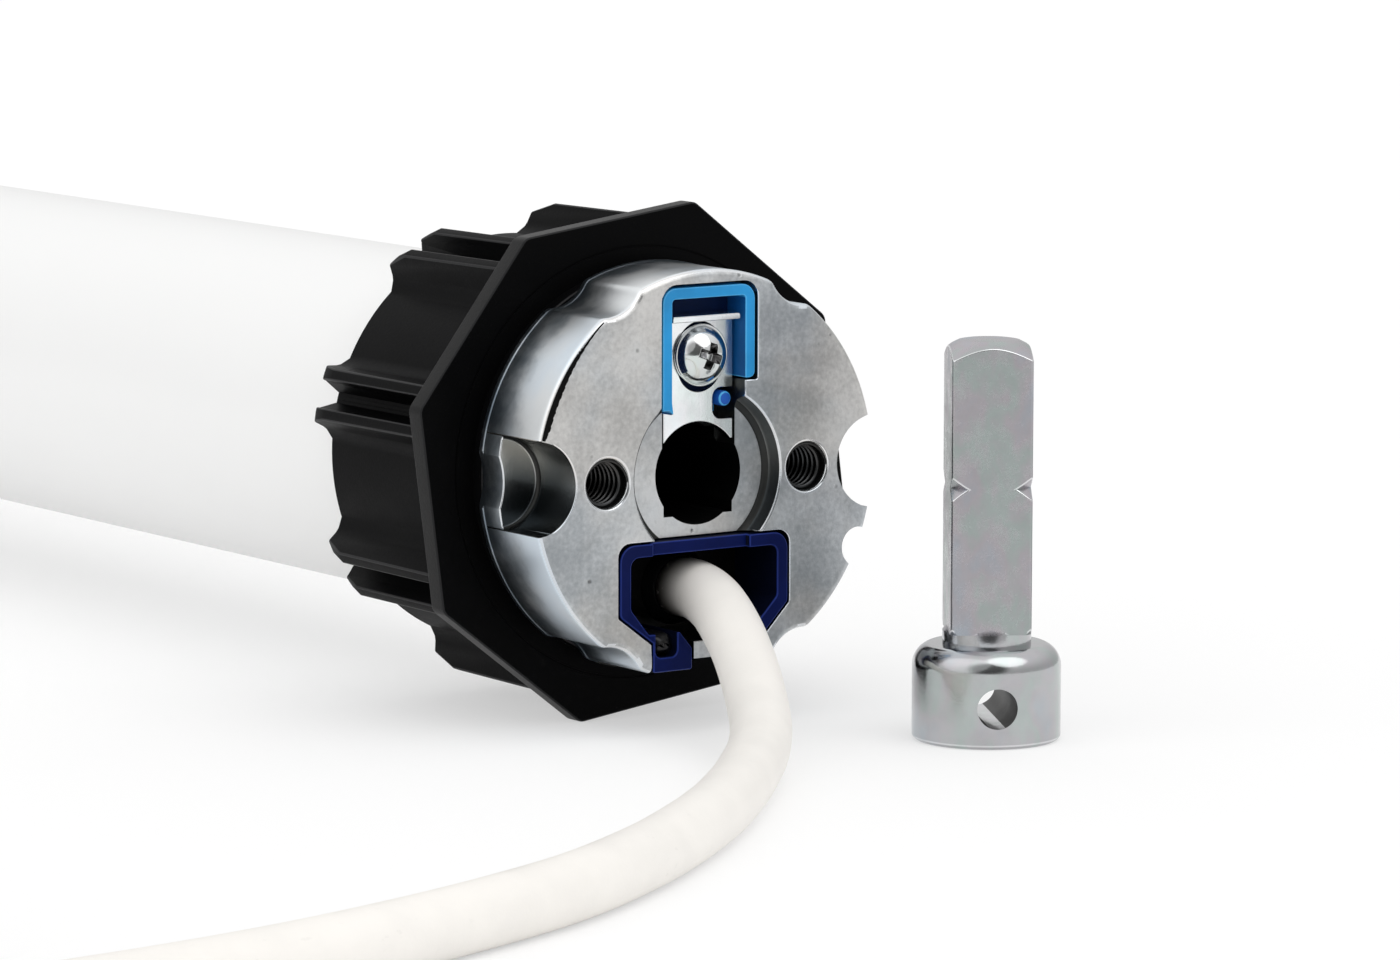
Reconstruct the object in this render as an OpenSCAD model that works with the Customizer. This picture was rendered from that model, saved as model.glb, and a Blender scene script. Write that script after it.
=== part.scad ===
// Tubular roller blind motor with its fixed head, idler crown, drive wheel, cable and square mounting stud.
// Y runs along the tube, away from the head, X points right and Z up, as seen from the head's front.
// The origin is on the motor's axis, in the plane of the head's front face.

/* [Tube] */
// Outer diameter of the motor tube
tube_d = 45; // [44:0.5:47]
// Wall thickness of the motor tube
tube_wall = 0.8; // [0.6:0.1:1]
// Length of the motor tube
tube_len = 470; // [460:5:620]

/* [Head] */
// Diameter of the head casting
head_d = 51; // [50.6:0.1:52]
// Depth of the head casting in front of its neck
head_depth = 13; // [12.6:0.2:16]
// Diameter of the neck that the crown's lip runs on
neck_d = 40.4; // [40:0.2:41.6]
// Length of the spigot inside the tube
spigot_len = 14; // [13:0.5:20]
// Width of the bevel on the face's rim
rim_bevel = 0.5; // [0.2:0.1:0.8]
// Radius of the four shallow scallops in the rim
scallop_r = 5.5; // [4.5:0.1:6.5]
// Depth of the four shallow scallops
scallop_depth = 1.2; // [0.6:0.1:1.6]
// Radius of the side pocket and of the scallop opposite
pocket_r = 5.9; // [5:0.1:6.2]
// Depth of the side pocket behind the face
pocket_depth = 8.4; // [6:0.2:10]
// Diameter of the two tapped holes
tap_d = 6; // [4:0.5:6.5]
// Distance between the two tapped holes
tap_spacing = 30; // [29:0.5:32]
// Depth of the tapped holes
tap_depth = 11; // [8:0.5:12]

/* [Stud socket] */
// Width of the stud's square shaft
stud_w = 10; // [9.6:0.1:10.2]
// Clearance around the square shaft, in all
stud_play = 0.3; // [0.1:0.1:0.5]
// Diameter of the round bore around the square socket
bore_d = 12.8; // [12.2:0.1:13]
// Depth of the socket behind the face
bore_depth = 27; // [24:0.5:29]
// Diameter of the round recess around the bore
recess_d = 21.4; // [20:0.2:22]
// Depth of the round recess
recess_depth = 2.3; // [1.5:0.1:2.6]

/* [Release] */
// Width of the release clip's frame
clip_w = 13.9; // [13.5:0.1:14.2]
// Wall of the release clip's frame
clip_wall = 1.4; // [1.2:0.1:1.5]
// Thickness of the sliding lock plate
plate_t = 1.5; // [1:0.1:1.6]
// Travel of the lock plate
plate_travel = 1.5; // [1:0.1:1.7]
// Diameter of the plate screw's washer head
washer_d = 7.6; // [7.2:0.1:8]

/* [Cable insert] */
// Width of the cable insert
insert_w = 25.2; // [24.4:0.2:25.6]
// Wall of the cable insert
insert_wall = 1.6; // [1.2:0.1:1.8]
// Depth of the cable insert
insert_depth = 12; // [11:0.2:12.4]
// Depth at which the plug's face lies in the insert
plug_face = 9; // [8.8:0.1:9.2]

/* [Crown] */
// Width across the flats of the octagonal flange
flange_af = 61.8; // [61:0.2:64]
// Thickness of the octagonal flange
flange_t = 2.7; // [2:0.1:4]
// Length of the ribbed barrel behind the flange
barrel_len = 27.4; // [20:0.2:40]
// Outer diameter of the barrel
barrel_d = 52.8; // [51:0.2:54]
// Reach of the rib tips from the axis
rib_reach = 30.7; // [29.5:0.1:31]
// Thickness of a rib at its tip
rib_t = 1.2; // [0.8:0.1:1.6]
// Distance between the centre planes of two paired ribs
rib_pair = 4.9; // [4.5:0.1:5.4]
// Thickness of the lip that runs on the neck
lip_t = 3.3; // [2.5:0.1:5]
// Angle of the crown's corners, clockwise from the top
crown_turn = 15; // [0:1:44]

/* [Drive] */
// Length of the drive wheel
wheel_len = 34; // [28:1:50]
// Diameter of the output shaft
output_d = 14; // [12:0.5:15]
// Diameter of the rotor shaft
shaft_d = 8; // [7:0.5:8]
// Length of the stator and rotor cores
core_len = 70; // [50:5:75]
// Air gap between rotor and stator
air_gap = 0.3; // [0.2:0.05:0.5]
// Length of the electronics carrier
carrier_len = 118; // [110:1:122]
// Diameter of the motor capacitor
capacitor_d = 28; // [24:0.5:30]
// Length of the motor capacitor
capacitor_len = 50; // [40:1:52]

/* [Gears] */
// Module of the planetary gears
gear_m = 0.9; // [0.88:0.01:0.91]
// Width of each stage's planet gears
planet_w = [9, 12, 17];
// Radius of the planet pins
pin_r = 2; // [1.5:0.1:2.4]

/* [Stud] */
// Height of the stud's square shaft
stud_h = 36; // [30:1:44]
// Diameter of the stud's round base
stud_base_d = 18.4; // [17:0.2:20]
// Height of the stud's round base
stud_base_h = 12; // [10:0.5:14]
// Diameter of the cross hole for a split pin
stud_hole_d = 5; // [3:0.5:5.5]

/* [Cable] */
// Diameter of the cable's sheath
cable_d = 7.5; // [6.5:0.1:7.6]
// Turns of the cable's coil in each of its two layers
coil_turns = 3; // [2:1:3]
// Length of the bare cores at the cable's far end
core_tail = 30; // [20:1:45]

/* [Hidden] */
$fn = 72;
eps = 0.01;

// Clearances of the fits
run_gap = 0.05;
seat_gap = 0.1;
push_gap = 0.02;
end_gap = 0.3;
stage_gap = 0.5;

// Radii that the pieces share
tube_r = tube_d / 2;
tube_in = tube_r - tube_wall;
head_r = head_d / 2;
neck_r = neck_d / 2;
lip_play = 0.35;
barrel_r = barrel_d / 2;
inner_fit_r = tube_in - seat_gap;

// Places along the axis, from the head to the capacitor
lip_y0 = head_depth + lip_play;
lip_y1 = lip_y0 + lip_t;
tube_y0 = lip_y1 + lip_play;
spigot_y1 = tube_y0 + spigot_len;
carrier_y0 = spigot_y1 + end_gap;
carrier_y1 = carrier_y0 + carrier_len;
holder_y0 = carrier_y1 + end_gap;
holder_ring = 4;
holder_y1 = holder_y0 + capacitor_len + 4;
tube_y1 = tube_y0 + tube_len;

// Places along the axis, from the tube's far end back to the motor
cap_spigot = 14;
cap_flange = 3;
disc_t = [3, 3, 5];
ring_y1 = tube_y1 - cap_spigot;
disc_y1 = [for (i = [0:2]) ring_y1 - stage_gap - later_stages(i)];
disc_y0 = [for (i = [0:2]) disc_y1[i] - disc_t[i]];
planet_y1 = [for (i = [0:2]) disc_y0[i] - stage_gap];
planet_y0 = [for (i = [0:2]) planet_y1[i] - planet_w[i]];
ring_y0 = planet_y0[0] - 2;
front_plate_t = 4;
front_plate_y0 = ring_y0 - front_plate_t;
brake_len = 24;
brake_y0 = front_plate_y0 - brake_len;
shield_t = 9;
overhang = 12;
rear_shield_y0 = brake_y0 - shield_t;
core_y1 = rear_shield_y0 - overhang;
core_y0 = core_y1 - core_len;
front_shield_y0 = core_y0 - overhang - shield_t;

// Length that the stages after stage i take up along the axis
function later_stages(i) =
    i >= 2 ? 0 : disc_t[i + 1] + planet_w[i + 1] + 2 * stage_gap + later_stages(i + 1);

// Planetary gears: teeth of the sun, the planets and the ring
sun_teeth = 9;
planet_teeth = 15;
ring_teeth = 39;
tooth_add = 0.75 * gear_m;
tooth_ded = 0.95 * gear_m;
tooth_share = 0.8;
flank_angle = 20;
planet_orbit = gear_m * (sun_teeth + planet_teeth) / 2;
planets_per_stage = 3;

// Crown and drive wheel
flange_y0 = lip_y0 + 2.05;
flange_y1 = flange_y0 + flange_t;
barrel_y1 = flange_y1 + barrel_len;
hub_r = 24.6;
crown_bore_r = tube_r + 0.1;
corner_count = 8;
rib_root_flare = 2.3;
wheel_y0 = tube_y1 + cap_flange + 1;
wheel_y1 = wheel_y0 + wheel_len;
output_end = wheel_y1 - 0.5;
output_r = output_d / 2;
drive_r = output_r - 1;
drive_flat = drive_r - 1.2;

// Head details
window_top = -7.9;
window_side = -16.7;
window_low = -20.3;
window_x0 = -insert_w / 2 - 0.5;
window_x1 = insert_w / 2 - 0.5;
leg_x0 = -8.2;
leg_x1 = -2.4;
leg_low = -24;
slot_gap = 0.25;
passage_w = 16;
passage_h = 8.6;
passage_z = -12.9;
slot_top = 23.85;
slot_depth = 6.2;
clip_x0 = -clip_w / 2 + 0.25;
clip_x1 = clip_w / 2 + 0.25;
clip_top = slot_top - 0.35;
clip_left_low = 8.3;
clip_right_low = 11.7;
clip_back_t = 1.8;
plate_y0 = recess_depth + 0.1;
plate_y1 = plate_y0 + plate_t;
plate_x0 = clip_x0 + clip_wall + 0.15;
plate_x1 = clip_x1 - clip_wall - 0.5;
plate_low = 4;
plate_top = 19.8;
screw_z = 14.7;
screw_shoulder_r = 2.6;
slot_hole_r = 3.2;
peg_at = [3.7, 9.1];
peg_r = 0.95;
screw_x = 0.3;
screw_thread_r = 2;
crease_r = 9;
crease_out = 8.2;
notch_r = 2.5;
notch_angle = 25;
contact_places = [-5, 0, 5];
contact_r = 0.75;
head_screw_y = tube_y0 + 5;
seal_y = spigot_y1 - 2.6;
seal_r = 0.7;
seal_groove = 2;

// Screws that hold the tube at both ends
side_screws = 4;
side_screw_r = 1.5;
side_screw_len = 4.9;
side_head_r = 2.7;
end_screw_y = tube_y1 - cap_spigot / 2;

// Electronics
carrier_r = inner_fit_r - 0.2;
carrier_wall = 2;
board_half = inner_fit_r - 3;
board_low = -2;
board_top = -0.4;
relay_places = [50, 70];
relay_size = [10, 15, 12.4];
receiver_at = [4, 50];
receiver_size = [2, 36, 13.4];
wire_r = 0.9;
wire_angles = [140, 150, 160];
wire_out = 3.6;

// Motor and brake
bearing_r = 11;
bearing_w = 7;
race_in = 6;
race_out = 9.4;
race_step = 0.4;
stator_bore_r = 12.2;
slot_count = 12;
slot_r = 2;
slot_orbit = 16.6;
sun_shaft_r = 2.4;
brake_wall = 3;
brake_plate_y0 = front_plate_y0 - 9.5;
brake_plate_t = 3;
brake_r = 16.5;
lining_t = 2.5;
drive_screw_r = 2.5;

// Floor that the motor lies on: the crown's lowest corner touches it
flange_r = flange_af / 2 / cos(180 / corner_count);
lowest_turn = abs((crown_turn + 22.5) % 45 - 22.5);
floor_z = -flange_r * cos(lowest_turn);

// Place of the loose stud on the floor beside the head, and its turn
stud_at = [26.5, -22];
stud_turn = -28.5;
stud_hole_z = 5.1;

// Route of the cable from the plug's face to the coil, for a cable of 7.5 mm on a floor at -32.3
lead_route = [
    [0, 9, -14.2], [0, 4, -14.2], [-1.5, -2, -15.2], [-3, -8, -18], [-4.5, -13.5, -21.4],
    [-7, -19.5, -24.6], [-10.5, -26, -26.8], [-15.5, -32.5, -28.1], [-22, -40, -28.5], [-31, -50, -28.5],
    [-41, -60, -28.5], [-52, -69.5, -28.5], [-64, -78.5, -28.5], [-78, -87, -28.5], [-92, -93, -28.5],
    [-107, -98, -28.5], [-123, -102, -28.5], [-140, -104.5, -28.5], [-160, -105.7, -28.5],
    [-180, -106, -28.5], [-199, -106, -28.5]
];
lead_sides = 12;
coil_sides = 6;
coil_rings = 24;
coil_pitch = 8.1;
coil_inner_r = 30;
coil_outer_r = coil_inner_r + coil_pitch * coil_turns;
coil_over = 0.25;
coil_start = lead_route[len(lead_route) - 1];
coil_centre = coil_start + [-7.5, coil_outer_r, 0];
coil_steps = (2 * coil_turns + coil_over) * coil_rings;

// Route of the cable's end, from where it leaves the coil
tail_route = [
    for (p = [
        [0, 7.5, 0], [0, 15, 0], [-0.2, 24, -1.2], [-0.2, 33, -3.8],
        [0.2, 42, -6.4], [2.2, 52, -7.8], [6.6, 64, -8.1], [13, 76, -8.1]
    ])
        coil_point(coil_turns + coil_over) + p
];
coil_path = concat(
    [coil_start],
    [for (i = [0:coil_steps]) coil_point(i / coil_rings - coil_turns)],
    [tail_route[0]]
);

// Least gap between the coil's turns, over pairs of its points that lie half a turn or more apart
coil_gap = min([
    for (i = [0:coil_steps])
    for (k = [i + coil_rings / 2:coil_steps])
        norm(coil_path[i + 1] - coil_path[k + 1])
]) - cable_d;
echo(least_gap_in_the_coil = coil_gap);

core_r = 1;
core_stub = 3;
core_spread = 5;
ferrule_r = 0.8;
ferrule_len = 8;

// Centre line of the coil: it spirals in, climbs to the second layer and spirals out again
function coil_point(turns) =
    let (angle = -90 - 360 * (turns + coil_turns))
    let (r = coil_inner_r + coil_pitch * abs(turns))
    let (climb = min(max(2 * turns + 0.5, 0), 1))
    coil_centre + [r * cos(angle), r * sin(angle), coil_pitch * climb];

// Extrudes an outline drawn in X and Z from y0 to y1
module along_y(y0, y1) {
    translate([0, y1, 0])
    rotate([90, 0, 0])
    linear_extrude(height = y1 - y0)
    children();
}

// Round bar along the motor's axis
module bar_y(r, y0, y1) {
    translate([0, y0, 0])
    rotate([-90, 0, 0])
    cylinder(r = r, h = y1 - y0);
}

// Round ring along the motor's axis
module ring_y(r_out, r_in, y0, y1) {
    difference() {
        bar_y(r_out, y0, y1);
        bar_y(r_in, y0 - 1, y1 + 1);
    }
}

// Turns a profile of radius and Y about the motor's axis
module lathe_y(profile) {
    rotate([-90, 0, 0])
    rotate_extrude()
    polygon(profile);
}

// Box between two corners
module block(low, high) {
    translate(low)
    cube(high - low);
}

// Copies children round the axis at equal steps
module around(count, first = 0) {
    for (i = [0:count - 1])
        rotate([0, -first - i * 360 / count, 0])
        children();
}

// Radial bar along X from radius r0 to r1, at y
module radial_bar(r, r0, r1, y) {
    translate([r0, y, 0])
    rotate([0, 90, 0])
    cylinder(r = r, h = r1 - r0);
}

// Outline of a gear with straight flanks, one tooth pointing along X
module gear_outline(teeth, add, ded, share) {
    pitch_r = gear_m * teeth / 2;
    tip_r = pitch_r + add;
    root_r = pitch_r - ded;
    pitch_w = PI * gear_m / 2 * share;
    tip_half = (pitch_w / 2 - add * tan(flank_angle)) / tip_r * 180 / PI;
    root_half = (pitch_w / 2 + ded * tan(flank_angle)) / root_r * 180 / PI;
    polygon([
        for (i = [0:teeth - 1])
        for (p = [[root_r, -root_half], [tip_r, -tip_half], [tip_r, tip_half], [root_r, root_half]])
            p[0] * [cos(i * 360 / teeth + p[1]), sin(i * 360 / teeth + p[1])]
    ]);
}

// Outline of the cable insert, grown by a gap on every side
module insert_outline(gap) {
    polygon([
        [window_x0 - gap, window_top + gap],
        [window_x1 + gap, window_top + gap],
        [window_x1 + gap, window_side - gap / 2],
        [window_x1 - 3.5 + gap / 2, window_low - gap],
        [leg_x1 + gap, window_low - gap],
        [leg_x1 + gap, leg_low - gap],
        [leg_x0 - gap, leg_low - gap],
        [leg_x0 - gap, window_low - gap / 2],
        [window_x0 - gap, window_side - gap / 2]
    ]);
}

// Outline of the insert's cavity, open at the bottom beside the leg
module cavity_outline() {
    polygon([
        [window_x0 + insert_wall, window_top - insert_wall],
        [window_x1 - insert_wall, window_top - insert_wall],
        [window_x1 - insert_wall, window_side + insert_wall / 2],
        [window_x1 - insert_wall - 3, window_low + 1.3],
        [window_x1 - insert_wall - 3, window_low - 1],
        [leg_x1 - eps, window_low - 1],
        [leg_x1 - 1.8, window_low + 1.1],
        [leg_x0 - 0.6, window_low + 1.1],
        [window_x0 + insert_wall, window_side + insert_wall / 2]
    ]);
}

// Outline of the slot for the clip and the lock plate, stepped in below the clip's legs
module slot_outline() {
    polygon([
        [clip_x0 - slot_gap, slot_top - 1],
        [clip_x0 - slot_gap + 1, slot_top],
        [clip_x1 + slot_gap - 1, slot_top],
        [clip_x1 + slot_gap, slot_top - 1],
        [clip_x1 + slot_gap, clip_right_low - slot_gap],
        [plate_x1 + slot_gap, clip_right_low - slot_gap],
        [plate_x1 + slot_gap, 0],
        [plate_x0 - slot_gap, 0],
        [plate_x0 - slot_gap, clip_left_low - slot_gap],
        [clip_x0 - slot_gap, clip_left_low - slot_gap]
    ]);
}

module head_casting() {
    color("silver")
    difference() {
        lathe_y([
            [0, 0], [head_r - rim_bevel, 0], [head_r, rim_bevel], [head_r, head_depth],
            [neck_r, head_depth], [neck_r, tube_y0], [tube_in - run_gap, tube_y0],
            [tube_in - run_gap, spigot_y1], [0, spigot_y1]
        ]);
        head_rim_cuts();
        head_socket_cuts();
        head_cable_cuts();
        for (side = [-1, 1])
            translate([side * tap_spacing / 2, 0, 0])
            bar_y(tap_d / 2, -1, tap_depth);
        around(side_screws, 45)
            radial_bar(side_screw_r + push_gap, tube_in - side_screw_len - seat_gap, tube_r, head_screw_y);
        ring_y(tube_r, tube_in - 2 * seal_r - seat_gap, seal_y - seal_groove / 2, seal_y + seal_groove / 2);
    }
}

// Scallops, pocket and notches in the rim of the head
module head_rim_cuts() {
    for (angle = [60, 120, 240, 300])
        rotate([0, -angle, 0])
        translate([head_r - scallop_depth + scallop_r, 0, 0])
        bar_y(scallop_r, -1, head_depth + eps);
    translate([-head_r, 0, 0])
    bar_y(pocket_r, -1, pocket_depth);
    translate([-head_r - crease_out, 0, 0])
    bar_y(crease_r, pocket_depth - eps, head_depth + eps);
    translate([head_r, 0, 0])
    bar_y(pocket_r, -1, head_depth + eps);
    rotate([0, notch_angle, 0])
    translate([head_r - 0.2, 0, 0])
    bar_y(notch_r, -1, head_depth + eps);
}

// Stud socket, recess and the slot of the release mechanism
module head_socket_cuts() {
    half_square = (stud_w + stud_play) / 2;
    bar_y(recess_d / 2, -1, recess_depth);
    bar_y(bore_d / 2, -1, bore_depth);
    block([-half_square, -1, -half_square], [half_square, bore_depth, half_square]);
    along_y(-1, slot_depth)
    slot_outline();
    translate([screw_x, 0, screw_z])
    bar_y(screw_thread_r + push_gap, 0, slot_depth + 8);
}

// Window for the insert, passage for the plug and the flat under the cable
module head_cable_cuts() {
    along_y(-1, insert_depth + end_gap)
    insert_outline(slot_gap);
    block([leg_x0 - slot_gap, -1, -head_r - 1], [leg_x1 + slot_gap, insert_depth + end_gap, leg_low]);
    block(
        [-passage_w / 2, 0, passage_z - passage_h / 2],
        [passage_w / 2, spigot_y1 + 1, passage_z + passage_h / 2]
    );
    block([leg_x1, -1, -head_r - 1], [10.5, head_depth + eps, -22.7]);
}

module head_seal() {
    color("black")
    rotate([-90, 0, 0])
    translate([0, 0, seal_y])
    rotate_extrude()
    translate([tube_in - seal_r - run_gap, 0])
    circle(r = seal_r, $fn = 24);
}

module head_screws() {
    color("gainsboro")
    around(side_screws, 45)
        radial_bar(side_screw_r, tube_in - side_screw_len, tube_r - 0.1, head_screw_y);
}

module release_clip() {
    back_y = plate_y1 + 0.2;
    color("deepskyblue")
    difference() {
        along_y(0, back_y + clip_back_t)
        polygon([
            [clip_x0, clip_left_low], [clip_x0, clip_top - 1.2], [clip_x0 + 1.2, clip_top],
            [clip_x1 - 1.2, clip_top], [clip_x1, clip_top - 1.2], [clip_x1, clip_right_low],
            [clip_x1 - clip_wall - 2, clip_right_low], [clip_x1 - clip_wall - 2, clip_left_low - 1],
            [clip_x0 + clip_wall, clip_left_low - 1], [clip_x0 + clip_wall, clip_left_low]
        ]);
        difference() {
            along_y(-1, back_y)
            polygon([
                [clip_x0 + clip_wall, 0], [clip_x0 + clip_wall, clip_top - 1.75],
                [clip_x1 - clip_wall - 0.35, clip_top - 1.75], [clip_x1 - clip_wall - 0.35, 0]
            ]);
            translate([peg_at[0], 0, peg_at[1]])
            bar_y(peg_r, plate_y0 - 0.8, back_y + 0.8);
        }
        translate([screw_x, 0, screw_z])
        bar_y(screw_shoulder_r + seat_gap, 0, slot_depth + 1);
    }
}

module lock_plate() {
    notch_x = peg_at[0] - peg_r - 0.35;
    notch_low = peg_at[1] - peg_r - 0.35;
    color("gainsboro")
    difference() {
        union() {
            block([plate_x0, plate_y0, plate_low], [plate_x1, plate_y1, plate_top]);
            block([plate_x0 + 0.3, plate_y0 - 1.7, plate_top - 0.8], [plate_x1, plate_y0 + eps, plate_top]);
        }
        bar_y(bore_d / 2, 0, slot_depth);
        for (z = [13.3, 15.6])
            translate([screw_x, 0, z])
            bar_y(slot_hole_r, 0, slot_depth);
        block([screw_x - slot_hole_r, 0, 13.3], [screw_x + slot_hole_r, slot_depth, 15.6]);
        block([notch_x, 0, notch_low - plate_travel], [plate_x1 + 1, slot_depth, peg_at[1] + peg_r + 0.4]);
    }
}

module clip_screw() {
    washer_r = washer_d / 2;
    color("gainsboro")
    translate([screw_x, 0, screw_z])
    difference() {
        lathe_y([
            [0, -0.6], [1.5, -0.45], [2.6, 0.2], [3.2, 1.5], [washer_r, 1.55], [washer_r, plate_y0 - 0.1],
            [screw_shoulder_r, plate_y0 - 0.1], [screw_shoulder_r, slot_depth], [screw_thread_r, slot_depth],
            [screw_thread_r, slot_depth + 7], [0, slot_depth + 7]
        ]);
        for (turn = [20, 110])
            rotate([0, turn, 0])
            block([-1.8, -1, -0.4], [1.8, 0.9, 0.4]);
    }
}

module cable_insert() {
    color("midnightblue")
    difference() {
        along_y(0, insert_depth)
        insert_outline(0);
        along_y(-1, insert_depth + 1)
        cavity_outline();
        bar_y(recess_d / 2 + 0.1, -1, 1);
        block([leg_x0 + 1, -1, leg_low + 1.4], [leg_x1 - 1.2, insert_depth - 3, window_low + 0.6]);
    }
}

module insert_latch() {
    color("black")
    block([leg_x0 + 1.1, 0.8, leg_low + 1.5], [leg_x1 - 1.3, insert_depth - 3.1, window_low + 0.5]);
}

module cable_plug() {
    half_w = passage_w / 2 - seat_gap;
    half_h = passage_h / 2 - seat_gap;
    color("black")
    difference() {
        union() {
            block(
                [window_x0 + insert_wall + seat_gap, plug_face, window_side + insert_wall + 0.4],
                [
                    window_x1 - insert_wall - seat_gap, insert_depth + seat_gap,
                    window_top - insert_wall - seat_gap
                ]
            );
            block(
                [-half_w, insert_depth + eps, passage_z - half_h],
                [half_w, spigot_y1 - 3, passage_z + half_h]
            );
        }
        for (x = contact_places)
            translate([x, 0, passage_z])
            bar_y(contact_r + push_gap, spigot_y1 - 10, spigot_y1);
    }
}

module plug_contacts() {
    color("gold")
    for (x = contact_places)
        translate([x, 0, passage_z])
        bar_y(contact_r, spigot_y1 - 9.9, spigot_y1 + 2);
}

module contact_socket() {
    half_w = passage_w / 2 - seat_gap;
    half_h = passage_h / 2 - seat_gap;
    color("dimgray")
    difference() {
        block(
            [-half_w, spigot_y1 - 3 + end_gap, passage_z - half_h],
            [half_w, carrier_y0 + 6, passage_z + half_h]
        );
        for (x = contact_places)
            translate([x, 0, passage_z])
            bar_y(contact_r + seat_gap, spigot_y1 - 5, spigot_y1 + 3);
    }
}

// One rib of a pair, its outer flank flared at the root, along X
module rib_outline(tip) {
    inner = rib_pair / 2 - rib_t / 2;
    outer = rib_pair / 2 + rib_t / 2;
    polygon([
        [barrel_r - 1, inner - 0.2], [tip, inner], [tip, outer], [barrel_r + 1.2, outer + 0.9],
        [barrel_r + 0.2, outer + 1.5], [barrel_r - 0.7, outer + rib_root_flare],
        [barrel_r - 1, outer + rib_root_flare]
    ]);
}

// Eight pairs of ribs with a lead-in at the far end, on the octagon's corners
module rib_ring(y0, y1) {
    intersection() {
        for (i = [0:corner_count - 1])
            rotate([0, crown_turn - 90 + i * 360 / corner_count, 0])
            along_y(y0, y1) {
                rib_outline(rib_reach + 1);
                mirror([0, 1])
                rib_outline(rib_reach + 1);
                translate([barrel_r - 1, -0.25])
                square([2, 0.5]);
            }
        lathe_y([
            [0, y0], [rib_reach + 0.2, y0], [rib_reach, y1 - 4.2], [rib_reach - 1.4, y1], [0, y1]
        ]);
    }
}

module crown_ring() {
    color("black")
    difference() {
        union() {
            bar_y(hub_r, lip_y0, flange_y0 + eps);
            along_y(flange_y0, flange_y1)
            rotate(90 - crown_turn)
            circle(r = flange_r, $fn = corner_count);
            bar_y(barrel_r, flange_y1 - eps, barrel_y1);
            rib_ring(flange_y1 - eps, barrel_y1);
        }
        bar_y(neck_r + run_gap, lip_y0 - 1, lip_y1 + 1);
        bar_y(crown_bore_r, lip_y1, barrel_y1 + 1);
        bar_y(barrel_r - 2.1, lip_y1 + 3, barrel_y1 - 5);
    }
}

module motor_tube() {
    color("white")
    difference() {
        ring_y(tube_r, tube_in, tube_y0, tube_y1);
        around(side_screws, 45) {
            radial_bar(side_screw_r + push_gap, tube_in - 1, tube_r + 1, head_screw_y);
            radial_bar(side_screw_r + push_gap, tube_in - 1, tube_r + 1, end_screw_y);
        }
    }
}

module electronics_carrier() {
    in_r = carrier_r - carrier_wall;
    color("dimgray")
    difference() {
        union() {
            difference() {
                bar_y(carrier_r, carrier_y0, carrier_y1);
                bar_y(in_r, carrier_y0 + 2, carrier_y1 - 2);
                block([-tube_r, carrier_y0 + 2, 3], [tube_r, carrier_y1 - 2, tube_r]);
            }
            for (side = [-1, 1])
                translate([side * (in_r - 1.4), 0, 0])
                block([-1.1, carrier_y0 + 1, -5], [1.1, carrier_y1 - 1, -2]);
        }
        block(
            [-passage_w / 2, carrier_y0 - 1, passage_z - passage_h / 2],
            [passage_w / 2, carrier_y0 + 3, passage_z + passage_h / 2]
        );
        block([-8, carrier_y1 - 3, 4], [8, carrier_y1 + 1, 14]);
    }
}

module circuit_board() {
    color("darkgreen")
    block([-board_half, carrier_y0 + 2.3, board_low], [board_half, carrier_y1 - 2.3, board_top]);
}

module board_relays() {
    color("navy")
    for (place = relay_places)
        translate([4.6 - board_half, carrier_y0 + place, board_top])
        cube(relay_size);
}

module board_transformer() {
    color("orange")
    union() {
        block([-11, carrier_y0 + 14, board_top], [11, carrier_y0 + 34, 12]);
        block([-7, carrier_y0 + 11, 2], [7, carrier_y0 + 37, 10]);
    }
}

module receiver_module() {
    color("green")
    translate([receiver_at[0], carrier_y0 + receiver_at[1], board_top])
    cube(receiver_size);
}

module antenna_wire() {
    color("red")
    translate([receiver_at[0] + receiver_size[0] / 2, 0, 9])
    bar_y(0.6, carrier_y0 + receiver_at[1] + receiver_size[1], carrier_y1 - 3);
}

module capacitor_holder() {
    color("dimgray")
    difference() {
        union() {
            bar_y(carrier_r, holder_y0, holder_y0 + holder_ring);
            bar_y(carrier_r, holder_y1 - holder_ring, holder_y1);
            around(3, 90)
                block([capacitor_d / 2 + 2, holder_y0, -3], [carrier_r - 1, holder_y1, 3]);
        }
        bar_y(capacitor_d / 2 + seat_gap, holder_y0 + 2, holder_y1 + 1);
        bar_y(9, holder_y0 - 1, holder_y0 + 3);
        wire_positions()
            bar_y(wire_r + 0.2, holder_y0 - 1, holder_y1 + 1);
    }
}

module motor_capacitor() {
    color("gainsboro")
    bar_y(capacitor_d / 2, holder_y0 + 2 + push_gap, holder_y0 + 2 + capacitor_len);
}

// Three places of the wires to the motor, between the holder's rails
module wire_positions() {
    for (angle = wire_angles)
        rotate([0, -angle, 0])
        translate([capacitor_d / 2 + wire_out, 0, 0])
        children();
}

module motor_wires() {
    color("red")
    wire_positions()
        bar_y(wire_r, carrier_y1 + push_gap, front_shield_y0 - push_gap);
}

// End shield of the motor with a seat for its bearing in its rear or front face
module end_shield(y0, rear_seat) {
    seat_y0 = rear_seat ? y0 + shield_t - bearing_w : y0 - 1;
    color("lightgray")
    difference() {
        bar_y(inner_fit_r, y0, y0 + shield_t);
        bar_y(bearing_r + push_gap, seat_y0, seat_y0 + bearing_w + 1);
        bar_y(shaft_d / 2 + 1, y0 - 1, y0 + shield_t + 1);
    }
}

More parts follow.
